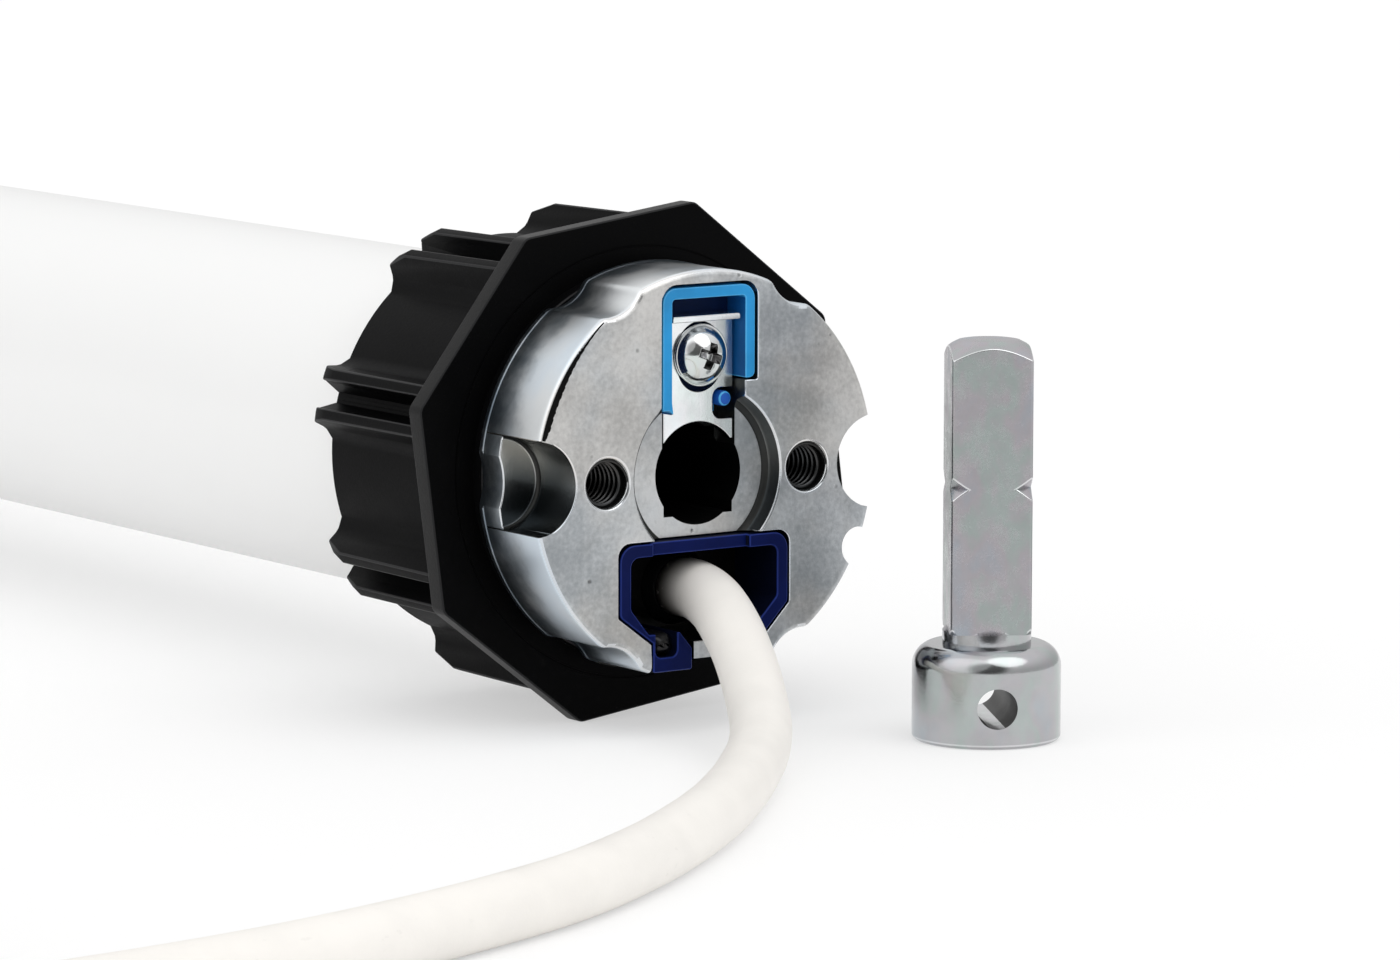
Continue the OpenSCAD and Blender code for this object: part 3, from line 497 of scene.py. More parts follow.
@dataclass(frozen=True)
class Layered(Finish):
    """Stacked sheet, wound wire or turned metal: fine lines square to an axis."""

    metallic: float = 1.0
    lines_per_mm: float = 2.0

    def dress(self, graph: Graph) -> None:
        """Lines along Y in tone and height, broken up by noise.

        Args:
            graph: the material's graph.
        """
        sockets = {"Vector": graph.place, "Scale": 160.0 * self.lines_per_mm, "Distortion": 0.6}
        settings = {"wave_type": "BANDS", "bands_direction": "Y"}
        line = Value(graph, graph.node("ShaderNodeTexWave", settings, sockets).outputs["Fac"])
        mottling = graph.noise(200, 4).rise(0.3, 0.7)
        graph.paint(
            Base_Color=graph.mix(line * 0.6 + mottling * 0.4, self.shade(0.6), self.shade(1.15)),
            Metallic=self.metallic,
            Roughness=self.roughness + (mottling - 0.5) * 0.15,
            Normal=graph.bump(line, 0.06),
        )


ZINC_FACE = CastMetal("cast zinc face", (0.56, 0.57, 0.575), 0.42, 1.0, 1.0, 0.36)
# Side of the head: its last number paints shade, darker and bluer towards the back by the crown.
ZINC_SIDE = CastMetal("cast zinc side", (0.82, 0.87, 0.91), 0.3, 0.1, 0.06, 0.14, 0.0, 0.8)
# Pocket: its last number paints shade, darker towards the bottom.
ZINC_POCKET = CastMetal("cast zinc pocket", (0.42, 0.42, 0.4), 0.22, 0.3, 0.1, 0.1, 0.95)
# Darker copies of the cast zinc, painted shade: the tapped threads, the inner walls, which also darken
# towards the bottom, and the darkest walls and creases.
ZINC_THREAD_SHADE = CastMetal("cut zinc thread", (0.075, 0.075, 0.075), 0.34, 0.4, 0.0)
ZINC_INNER_SHADE = CastMetal("cast zinc inner wall", (0.19, 0.19, 0.18), 0.36, 0.6, 0.2, 0.2, 0.9)
ZINC_SHADE = CastMetal("cast zinc dark wall", (0.045, 0.045, 0.043), 0.42, 0.6, 0.2)
# Front edge of the rim: lighter zinc, partly rubbed wear and partly a painted highlight.
ZINC_RIM_HIGHLIGHT = CastMetal("rubbed zinc rim with painted highlight", (0.86, 0.87, 0.88), 0.24, 0.3, 0.0)
# Nearly black: painted shade deep in the bore, also in the rim's crevice.
PAINTED_DEEP_SHADE = CastMetal("painted deep shade", (0.012, 0.012, 0.012), 0.6, 0.6, 0.0)
BLACK = Moulded("black plastic", (0.0025, 0.0025, 0.0028), 0.5, 0.05)
BLACK_FACE = Moulded("black plastic face", (0.0018, 0.0018, 0.002), 0.5, 0.04, 1.0, 0.015)
BLACK_GLOSS = Moulded("black plastic latch", (0.004, 0.004, 0.005), 0.3, 0.35, 0.15, 0.0)
BLACK_SIDE = Moulded("black plastic flange side", (0.003, 0.003, 0.0033), 0.42, 0.16)
BLACK_EDGE = Moulded("black plastic rubbed edge", (0.012, 0.012, 0.013), 0.5, 0.2)
WHITE_COAT = PowderCoat("white powder coat", (0.93, 0.93, 0.925), 0.34)
SKY_BLUE = Moulded("light blue plastic", (0.018, 0.27, 0.6), 0.38, 0.25, 0.6)
# Rounded edges of the clip: lighter blue, a painted highlight.
SKY_EDGE_HIGHLIGHT = Moulded("light blue plastic edge", (0.06, 0.38, 0.74), 0.35, 0.4, 0.6)
# Inner wall of the clip: darker blue, painted shade.
SKY_SHADE = Moulded("light blue plastic inner wall", (0.006, 0.085, 0.27), 0.45, 0.15, 0.6)
SKY_PEG = Moulded("light blue plastic peg", (0.008, 0.085, 0.4), 0.4, 0.3, 0.6)
# Deep inside the clip: nearly black blue, painted shade.
SKY_DEEP_SHADE = Moulded("light blue plastic deep inside", (0.003, 0.014, 0.06), 0.55, 0.1, 0.6, 0.0)
NAVY = Moulded("dark blue plastic", (0.002, 0.0065, 0.062), 0.42, 0.07, 0.6)
# Rounded edges of the insert: lighter blue, a painted highlight.
NAVY_EDGE_HIGHLIGHT = Moulded("dark blue plastic edge", (0.006, 0.02, 0.16), 0.38, 0.2, 0.6)
# Inside the insert: nearly black, painted shade.
NAVY_DEEP_SHADE = Moulded("dark blue plastic inside", (0.0015, 0.003, 0.013), 0.6, 0.06, 0.6, 0.0)
BRIGHT_ZINC = PlatedMetal("bright zinc plating", (0.86, 0.9, 0.91), 0.2, 0.25, 0.3)
CHROMATE = PlatedMetal("chromated zinc plating", (0.41, 0.425, 0.44), 0.3, 0.7, 0.3, 0.18)
CHROMATE_TURNED = PlatedMetal("chromated turned plating", (0.46, 0.48, 0.49), 0.17, 0.45, 0.2, 0.1)
# Rubbed chromate edges; on the floor of the stud's cross hole it paints light.
CHROMATE_EDGE_AND_LIT_HOLE = PlatedMetal("rubbed chromate edge and painted light in the hole", (0.68, 0.7, 0.71), 0.22, 0.3)
SCREW_PLATE = PlatedMetal("bright screw plating", (0.66, 0.69, 0.69), 0.12, 0.3)
# Cross recess of the screw: darker plating, painted shade.
SCREW_RECESS_SHADE = PlatedMetal("screw recess", (0.11, 0.11, 0.11), 0.2, 0.3)
SHEATH = Sheath("cream cable sheath", (0.95, 0.92, 0.875), 0.46)
GREY_PLASTIC = Moulded("grey plastic", (0.2, 0.2, 0.21), 0.45)
SLOT_FINISHES: dict[str, Finish] = {
    "zinc": ZINC_SIDE,
    "black_plastic": BLACK,
    "white_tube": WHITE_COAT,
    "light_blue": SKY_BLUE,
    "dark_blue": NAVY,
    "zinc_plate": BRIGHT_ZINC,
    "plated_screw": SCREW_PLATE,
    "cable_sheath": SHEATH,
    "copper": Layered("enamelled winding wire", (0.72, 0.35, 0.16), 0.3, 1.0, 1.2),
    "contact_brass": PlatedMetal("plated brass", (0.85, 0.65, 0.25), 0.25),
    "grey_plastic": GREY_PLASTIC,
    "board_green": Moulded("solder mask", (0.02, 0.2, 0.08), 0.3, 0.5, 0.3),
    "part_blue": Moulded("blue relay case", (0.02, 0.06, 0.3), 0.35),
    "part_yellow": Moulded("yellow winding tape", (0.8, 0.55, 0.05), 0.4),
    "wire_red": Moulded("red insulation", (0.6, 0.03, 0.02), 0.35),
    "alloy": CastMetal("die-cast alloy", (0.7, 0.7, 0.71), 0.4, 0.7, 0.4),
    "steel": Layered("ground steel", (0.55, 0.56, 0.58), 0.25, 1.0, 6.0),
    "lamination": Layered("stacked sheet steel", (0.2, 0.21, 0.23), 0.45, 1.0, 2.0),
    "sinter": CastMetal("sintered metal", (0.42, 0.38, 0.32), 0.55, 1.2, 0.8),
    "lining": CastMetal("friction lining", (0.25, 0.12, 0.07), 0.8, 1.5, 0.5),
    "bronze": CastMetal("sintered bronze", (0.6, 0.38, 0.2), 0.45, 1.0, 0.6),
    "core_colours": Moulded("core insulation", (0.25, 0.3, 0.5), 0.35),
    "seal_rubber": Moulded("seal rubber", (0.02, 0.02, 0.02), 0.6, 0.4),
}


# Outlines and solids


def ring_points(radius: float, steps: int, middle: Point = (0.0, 0.0)) -> list[Point]:
    """Points of a circle in X and Z."""
    turns = [2 * math.pi * k / steps for k in range(steps)]
    return [(middle[0] + radius * math.cos(t), middle[1] + radius * math.sin(t)) for t in turns]


def polar(radius: float, turn: float, y: float, x: float = 0.0) -> Vector:
    """Point at a radius and an angle round the Y axis, or round a line beside it."""
    return Vector((x + radius * math.cos(turn), y, radius * math.sin(turn)))


def rounded(corners: Sequence[tuple[float, float, float]], steps: int = 6) -> list[Point]:
    """Outline with rounded corners.

    Args:
        corners: X, Z and radius of each corner, in order.
        steps: points in each rounded corner, less one.

    Returns:
        The outline's points.
    """
    points: list[Point] = []
    count = len(corners)
    for i, (x, z, radius) in enumerate(corners):
        here = Vector((x, z))
        back = (Vector(corners[i - 1][:2]) - here).normalized()
        ahead = (Vector(corners[(i + 1) % count][:2]) - here).normalized()
        half = back.angle(ahead) / 2
        if radius <= 0 or abs(half - math.pi / 2) < NEAR:
            points.append((x, z))
            continue
        reach = radius / math.tan(half)
        middle = here + (back + ahead).normalized() * radius / math.sin(half)
        first, last = here + back * reach - middle, here + ahead * reach - middle
        sweep = first.angle_signed(last)
        for k in range(steps + 1):
            turned = first.copy()
            turned.rotate(Matrix.Rotation(-sweep * k / steps, 2))
            points.append(tuple(middle + turned))
    return points


class Solid:
    """A closed mesh in millimetres that other solids are joined to, cut from or kept within."""

    def __init__(self, mesh: bmesh.types.BMesh) -> None:
        """Takes over a mesh."""
        self.mesh = mesh

    @classmethod
    def skin(cls, rings: Sequence[Sequence[Vector]], closed: bool = False) -> "Solid":
        """Skin over rings of points.

        Args:
            rings: rings of equal count; a ring of one point is a pole.
            closed: whether the last ring joins the first, and otherwise both ends get a face.

        Returns:
            The closed solid.
        """
        mesh = bmesh.new()
        loops = [[mesh.verts.new(point) for point in ring] for ring in rings]
        pairs = list(zip(loops, loops[1:])) + ([(loops[-1], loops[0])] if closed else [])
        for first, second in pairs:
            count = max(len(first), len(second))
            for i in range(count):
                j = (i + 1) % count
                low = [first[i % len(first)], first[j % len(first)]]
                high = [second[j % len(second)], second[i % len(second)]]
                mesh.faces.new(dict.fromkeys(low + high))
        if not closed:
            for ring in (loops[0], loops[-1]):
                if len(ring) > 2:
                    mesh.faces.new(ring)
        bmesh.ops.recalc_face_normals(mesh, faces=mesh.faces)
        return cls(mesh)

    @classmethod
    def prism(cls, outline: Sequence[Point], y0: float, y1: float) -> "Solid":
        """An outline in X and Z, extruded along Y."""
        return cls.skin([[Vector((x, y, z)) for x, z in outline] for y in (y0, y1)])

    @classmethod
    def bar(cls, radius: float, y0: float, y1: float, at: Point = (0.0, 0.0), steps: int = 64) -> "Solid":
        """Round bar along Y."""
        return cls.prism(ring_points(radius, steps, at), y0, y1)

    @classmethod
    def box(cls, low: Point3, high: Point3) -> "Solid":
        """Box between two corners."""
        outline = [(low[0], low[2]), (high[0], low[2]), (high[0], high[2]), (low[0], high[2])]
        return cls.prism(outline, low[1], high[1])

    @classmethod
    def lathe(cls, profile: Iterable[Point], steps: int = 96, closed: bool = False) -> "Solid":
        """A profile turned about the Y axis.

        Args:
            profile: radius and Y of its points.
            steps: points round the axis.
            closed: whether it is the profile of a ring.

        Returns:
            The solid.
        """
        rings = []
        for radius, y in profile:
            points = ring_points(radius, steps) if radius > TINY else [(0.0, 0.0)]
            rings.append([Vector((x, y, z)) for x, z in points])
        return cls.skin(rings, closed)

    @classmethod
    def tube(cls, path: Sequence[Vector], radii: Sequence[float], sides: int) -> "Solid":
        """Round tube along a path.

        Args:
            path: its points.
            radii: a radius for each point, where 0 makes a pole.
            sides: points round the tube.

        Returns:
            The solid.
        """
        rings, side, forward = [], Vector((0, 0, 1)), None
        for i, middle in enumerate(path):
            last_few = path[max(i - 4, 0):i][::-1]
            ahead = next((q for q in path[i + 1:] if (q - middle).length > NEAR), middle)
            behind = next((q for q in last_few if (q - middle).length > NEAR), middle)
            step = (ahead - behind).normalized()
            if forward is None or step.dot(forward) > 0:
                forward = step
            side = (side - forward * side.dot(forward)).normalized()
            up = forward.cross(side)
            if radii[i] <= TINY:
                rings.append([middle])
            else:
                rings.append([middle + side * x + up * z for x, z in ring_points(radii[i], sides)])
        return cls.skin(rings)

    def moved(self, x: float = 0.0, y: float = 0.0, z: float = 0.0) -> "Solid":
        """This solid, moved."""
        bmesh.ops.translate(self.mesh, verts=self.mesh.verts, vec=(x, y, z))
        return self

    def turned(self, axis: Axis, degrees: float) -> "Solid":
        """This solid, turned about an axis through the origin.

        Args:
            axis: the axis.
            degrees: how far it is turned.

        Returns:
            This solid.
        """
        matrix = Matrix.Rotation(math.radians(degrees), 3, axis.value)
        bmesh.ops.rotate(self.mesh, cent=(0, 0, 0), matrix=matrix, verts=self.mesh.verts)
        return self

    def _object(self, collection: bpy.types.Collection) -> bpy.types.Object:
        """A working object of this solid, which then no longer holds the mesh.

        Args:
            collection: where the object is linked.

        Returns:
            The object.
        """
        data = bpy.data.meshes.new("work")
        self.mesh.to_mesh(data)
        self.mesh.free()
        made = bpy.data.objects.new("work", data)
        collection.objects.link(made)
        return made

    def _combine(self, operation: Combine, others: Sequence["Solid"]) -> "Solid":
        """Result of one boolean operation with the other solids.

        Args:
            operation: how they are combined.
            others: the other solids.

        Returns:
            A new solid.
        """
        holder = bpy.data.collections.new("work")
        base = self._object(bpy.context.scene.collection)
        parts = [other._object(holder) for other in others]
        combine = base.modifiers.new("combine", "BOOLEAN")
        combine.solver = "MANIFOLD"
        combine.operation = operation.value
        combine.operand_type = "COLLECTION"
        combine.collection = holder
        result = bmesh.new()
        result.from_mesh(evaluated_mesh(base))
        for part in (base, *parts):
            bpy.data.objects.remove(part)
        bpy.data.collections.remove(holder)
        return Solid(result)

    def join(self, *others: "Solid") -> "Solid":
        """This solid with others joined to it."""
        return self._combine(Combine.JOIN, others)

    def cut(self, *others: "Solid") -> "Solid":
        """This solid with others cut from it."""
        return self._combine(Combine.CUT, others)

    def within(self, other: "Solid") -> "Solid":
        """What of this solid lies within the other."""
        return self._combine(Combine.KEEP, [other])

    def split(self, axis: Axis, place: float = 0.0) -> "Solid":
        """This solid, its faces split along a plane square to an axis, so that no face rings a hole.

        Args:
            axis: the axis.
            place: where the plane crosses it.

        Returns:
            This solid.
        """
        normal = Vector([float(axis.value == name) for name in "XYZ"])
        everything = [*self.mesh.verts, *self.mesh.edges, *self.mesh.faces]
        bmesh.ops.bisect_plane(self.mesh, geom=everything, plane_co=normal * place, plane_no=normal)
        return self

    def piece(
        self,
        name: str,
        finish: Finish,
        edge: float = 0.0,
        edge_wear_and_highlight: Finish | None = None,
        marks: Callable[[Vector, Vector], int] | None = None,
        extra: Sequence[Finish] = (),
        zone: Callable[[Vector], bool] = lambda middle: True,
    ) -> bpy.types.Object:
        """Finished object of this solid, in metres.

        Args:
            name: the piece's name.
            finish: its main finish.
            edge: width of the rounding on its outward edges, or 0 for none.
            edge_wear_and_highlight: finish of the rounded edges, where it differs.
            marks: number of the finish for a face, from its centre and normal.
            extra: finishes that marks may name, after the main one.
            zone: whether an edge with this middle may be rounded.

        Returns:
            The object, linked to the scene.
        """
        mesh = self.mesh
        bmesh.ops.remove_doubles(mesh, verts=mesh.verts, dist=MERGE)
        bmesh.ops.dissolve_degenerate(mesh, edges=mesh.edges, dist=SLIVER)
        mesh.normal_update()
        for face in mesh.faces:
            face.smooth = True
            if marks:
                face.material_index = marks(face.calc_center_median(), face.normal)
        weight = mesh.edges.layers.float.new("bevel_weight_edge")
        for line in mesh.edges:
            angle = line.calc_face_angle(0.0)
            middle = (line.verts[0].co + line.verts[1].co) / 2
            if angle > ROUND_FROM and line.is_convex and zone(middle):
                line[weight] = 1.0
            elif angle > SHARP_FROM:
                line.smooth = False
        work = self._object(bpy.context.scene.collection)
        if edge:
            soften = work.modifiers.new("soften", "BEVEL")
            soften.width = edge
            soften.segments = 2
            soften.limit_method = "WEIGHT"
            soften.use_clamp_overlap = False
            # The rounded edges' own finish stands for rubbed wear and for painted highlights.
            soften.material = 1 + len(extra) if edge_wear_and_highlight else -1
        even = work.modifiers.new("even", "WEIGHTED_NORMAL")
        even.keep_sharp = True
        for used in (finish, *extra, *([edge_wear_and_highlight] if edge_wear_and_highlight else [])):
            work.data.materials.append(material_of(used))
        data = evaluated_mesh(work)
        bpy.data.objects.remove(work)
        data.transform(Matrix.Scale(MM, 4))
        data.name = name
        made = bpy.data.objects.new(name, data)
        bpy.context.scene.collection.objects.link(made)
        return made


def evaluated_mesh(work: bpy.types.Object) -> bpy.types.Mesh:
    """A new mesh of an object with its modifiers applied."""
    graph = bpy.context.evaluated_depsgraph_get()
    return bpy.data.meshes.new_from_object(work.evaluated_get(graph))


def fit(piece: bpy.types.Object, body: Body, slot: str, *nodes: str) -> bpy.types.Object:
    """Puts a piece on its body and hides the CAD nodes that it stands for.

    Args:
        piece: the piece.
        body: the body that it rides on.
        slot: name of the finish slot that it takes; not used.
        nodes: the CAD nodes.

    Returns:
        The piece.
    """
    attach(piece, body.value)
    if nodes:
        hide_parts(*nodes)
    LOG.info("%s rides on %s, %d faces", piece.name, body.value, len(piece.data.polygons))
    return piece


# Camera, light and floor


@dataclass
class Studio:
    """The photograph's camera, a pale floor and soft light."""

    place: Point3 = (-0.44735, -0.63782, 0.10337)
    right: Point3 = (0.81962, -0.57291, 0.00186)
    up: Point3 = (0.07428, 0.10948, 0.99121)
    lens: float = 163.9
    sensor: float = 36.0
    floor_size: float = 6.0
    world_level: float = 0.8
    lamps: tuple[tuple[str, Point3, float, float], ...] = (
        ("key lamp", (0.15, -0.75, 1.1), 0.6, 50.0),
        ("fill lamp", (-1.0, -0.25, 0.8), 0.35, 70.0),
    )

    def camera(self) -> None:
        """Makes the camera that the photograph was taken with."""
        data = bpy.data.cameras.new("camera")
        data.lens = self.lens
        data.sensor_width = self.sensor
        data.clip_start = 0.01
        data.clip_end = 30.0
        made = bpy.data.objects.new("camera", data)
        right, up = Vector(self.right), Vector(self.up)
        turn = Matrix((right, up, right.cross(up))).transposed()
        made.matrix_world = Matrix.Translation(self.place) @ turn.to_4x4()
        bpy.context.scene.collection.objects.link(made)
        bpy.context.scene.camera = made

    def floor(self, height: float) -> None:
        """Makes the floor, which keeps the object's soft shadow.

        Args:
            height: where it lies, in metres.
        """
        half = self.floor_size / 2
        mesh = bmesh.new()
        signs = ((-1, -1), (1, -1), (1, 1), (-1, 1))
        mesh.faces.new([mesh.verts.new((x * half, y * half, height)) for x, y in signs])
        data = bpy.data.meshes.new("floor")
        mesh.to_mesh(data)
        mesh.free()
        paper = bpy.data.materials.new("floor paper")
        graph = Graph(paper)
        seen = graph.rays("Camera", "Glossy", "Transmission")
        graph.surface.inputs["Specular IOR Level"].default_value = 0.0
        paper_white = graph.mix(graph.noise(40, 3), (0.92, 0.92, 0.92), (0.93, 0.93, 0.93))
        graph.paint(
            Base_Color=graph.mix(seen, paper_white, (0.5, 0.5, 0.5)),
            Roughness=1.0,
            Emission_Color=graph.mix(seen, (0.0, 0.0, 0.0), (0.5, 0.5, 0.5)),
            Emission_Strength=1.0,
        )
        data.materials.append(paper)
        made = bpy.data.objects.new("floor", data)
        bpy.context.scene.collection.objects.link(made)

    def light(self) -> None:
        """Sets the world's glow, with a dim side behind the camera, and two wide soft lamps."""
        scene = bpy.context.scene
        scene.world = scene.world or bpy.data.worlds.new("studio")
        graph = Graph(scene.world)
        seen, shine = graph.rays("Camera", "Transmission"), graph.rays("Glossy")
        toward = graph.node("ShaderNodeTexCoord").outputs["Generated"]
        parts = graph.node("ShaderNodeSeparateXYZ", {}, {0: toward})
        x, y, z = (Value(graph, parts.outputs[k]) for k in range(3))
        bright = 0.6 + z.rise(0.1, 0.8) * 0.4 + (0 - x).rise(0.1, 0.9) * 0.15 + y.rise(0.2, 0.9) * 0.1
        room = (x * -0.52 + y * -0.76 + z * 0.39).rise(0.8, 0.95)
        mirrored = shine * (bright * (1 - room * 0.85))
        level = seen + (1 - seen) * (mirrored + (1 - shine) * self.world_level)
        graph.plug(graph.surface.inputs["Color"], (1.0, 1.0, 1.0))
        graph.plug(graph.surface.inputs["Strength"], level)
        for name, toward_lamp, power, spread in self.lamps:
            data = bpy.data.lights.new(name, "SUN")
            data.energy = power
            data.angle = math.radians(spread)
            lamp = bpy.data.objects.new(name, data)
            lamp.rotation_euler = Vector(toward_lamp).to_track_quat("Z", "Y").to_euler()
            scene.collection.objects.link(lamp)
        scene.view_settings.view_transform = "Standard"


# Cable


@dataclass
class Cable:
    """The motor's cable: from the plug over the floor to its coil, with three bare cores at the far end."""

    diameter: float = 7.5
    sides: int = 32
    coil_turns: int = 3
    coil_over: float = 0.25
    coil_inner: float = 30.0
    coil_pitch: float = 8.1
    coil_steps: int = 40
    coil_shift: float = -7.5
    core_length: float = 27.0
    lead: tuple[Point3, ...] = (
        (0.001, 0.009, -0.0149), (0.001, 0.004, -0.0149), (-0.0002, -0.002, -0.0159),
        (-0.0018, -0.008, -0.0185), (-0.0037, -0.0135, -0.0216), (-0.0066, -0.0195, -0.0246),
        (-0.0105, -0.026, -0.0268), (-0.0155, -0.0325, -0.0281), (-0.022, -0.04, -0.0285),
        (-0.031, -0.05, -0.0285), (-0.041, -0.06, -0.0285), (-0.052, -0.0695, -0.0285),
        (-0.064, -0.0785, -0.0285), (-0.078, -0.087, -0.0285), (-0.092, -0.093, -0.0285),
        (-0.107, -0.098, -0.0285), (-0.123, -0.102, -0.0285), (-0.14, -0.1045, -0.0285),
        (-0.16, -0.1057, -0.0285), (-0.18, -0.106, -0.0285), (-0.199, -0.106, -0.0285),
    )
    tail: tuple[Point3, ...] = (
        (0.0, 0.0075, 0.0), (0.0, 0.015, 0.0), (-0.0002, 0.024, -0.0012),
        (-0.0002, 0.033, -0.0038), (0.0002, 0.042, -0.0064), (0.0022, 0.052, -0.0078),
        (0.0066, 0.064, -0.0081), (0.013, 0.076, -0.0081),
    )

    def smooth(self, route: Sequence[Point3], steps: int = 6) -> list[Vector]:
        """Points of a smooth curve through a route, in millimetres.

        Args:
            route: its points, in metres.
            steps: points from one of them to the next.

        Returns:
            The curve's points.
        """
        knots = [Vector(p) / MM for p in route]
        knots = [2 * knots[0] - knots[1], *knots, 2 * knots[-1] - knots[-2]]
        points = []
        for a, b, c, d in zip(knots, knots[1:], knots[2:], knots[3:]):
            for k in range(steps):
                t = k / steps
                square, cube = 2 * a - 5 * b + 4 * c - d, 3 * b - a - 3 * c + d
                points.append(0.5 * (2 * b + (c - a) * t + square * t**2 + cube * t**3))
        return [*points, knots[-2]]

    def coil(self) -> list[Vector]:
        """Points of the coil: it spirals in, climbs to the second layer and spirals out again.

        Returns:
            The points, in millimetres.
        """
        outer = self.coil_inner + self.coil_pitch * self.coil_turns
        middle = Vector(self.lead[-1]) / MM + Vector((self.coil_shift, outer, 0.0))
        points = []
        for k in range(round((2 * self.coil_turns + self.coil_over) * self.coil_steps) + 1):
            turns = k / self.coil_steps - self.coil_turns
            angle = math.radians(-90) - 2 * math.pi * (turns + self.coil_turns)
            radius = self.coil_inner + self.coil_pitch * abs(turns)
            climb = self.coil_pitch * min(max(2 * turns + 0.5, 0.0), 1.0)
            points.append(middle + Vector((radius * math.cos(angle), radius * math.sin(angle), climb)))
        return points

    def cores(self, last: Vector, before: Vector) -> list[bpy.types.Object]:
        """The three cores that leave the sheath, each with a crimped ferrule.

        Args:
            last: end of the route.
            before: the route's point before it.

        Returns:
            Cores and ferrules.
        """
        forward = (last - before).normalized()
        side = Vector((-forward.y, forward.x, 0.0))
        up = Vector((0.0, 0.0, 1.0))
        finishes = {
            -1: ("core_brown", Moulded("brown insulation", (0.16, 0.06, 0.025), 0.35)),
            0: ("core_earth", TwoTone("green and yellow insulation", (0.03, 0.3, 0.04), 0.35)),
            1: ("core_blue", Moulded("blue insulation", (0.02, 0.14, 0.5), 0.35)),
        }
        pieces = []
        for place, (name, finish) in finishes.items():
            start = last + side * (2.1 * place) + up * (1.2 if place == 0 else -0.8)
            lean = math.radians(5 * place)
            away = forward * math.cos(lean) + side * math.sin(lean)
            bend = start + forward * 2.7
            route = [start - forward * 0.6, bend]
            route += [bend + away * (self.core_length * k / 8) for k in range(1, 9)]
            core = Solid.tube(route, [1.0] * len(route), 20)
            tip = route[-1]
            collar = [(0.0, 0.85), (0.0, 1.15), (0.4, 1.2), (0.8, 0.82), (2.4, 0.78), (2.8, 0.66)]
            crimp = [(3.6, 0.66), (4.0, 0.78), (5.0, 0.78), (5.4, 0.66)]
            crimp += [(6.2, 0.66), (6.6, 0.78), (7.8, 0.76)]
            line = [(-0.5, 0.0), (-0.5, 0.8), *collar, *crimp, (8.0, 0.6), (8.0, 0.0)]
            ferrule = Solid.tube([tip + away * d for d, _ in line], [r for _, r in line], 20)
            wire = core.piece(name, finish, 0.15)
            sleeve = ferrule.piece(f"{name}_ferrule", SCREW_PLATE)
            pieces += [fit(wire, Body.MOTOR, "core_colours"), fit(sleeve, Body.MOTOR, "core_colours")]
        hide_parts("cable_cores")
        return pieces

    def build(self) -> None:
        radius = self.diameter / 2
        coil = self.coil()
        tail = [tuple(coil[-1] * MM + Vector(step)) for step in self.tail]
        path = [*self.smooth(self.lead), *coil, *self.smooth(tail)]
        forward = (path[-1] - path[-2]).normalized()
        start = (path[1] - path[0]).normalized()
        line = [path[0], path[0], path[0] + start * 0.4, *path[1:-1]]
        line += [path[-1] - forward * 0.25, path[-1], path[-1]]
        radii = [0.0, radius - 0.3, *[radius] * (len(line) - 5), radius, radius - 0.25, radius - 0.8]
        line += [path[-1] - forward * 1.2] * 2
        radii += [radius - 0.85, 0.0]
        sheath = Solid.tube(line, radii, self.sides).piece("cable_sheath", SHEATH)
        fit(sheath, Body.MOTOR, "cable_sheath", "cable_lead", "cable_coil", "cable_tail")
        metres = [p * MM for p in path]
        length = sum((b - a).length for a, b in zip(metres, metres[1:]))
        self.cores(Vector(tail[-1]) / MM, Vector(tail[-2]) / MM)


# Head


class HeadZone(IntEnum):
    """Finishes of the head, in the order in which its piece takes them."""

    FACE = 0
    SIDE = 1
    BORE = 2
    WALL = 3
    RIM = 4
    SHADE = 5
    POCKET = 6


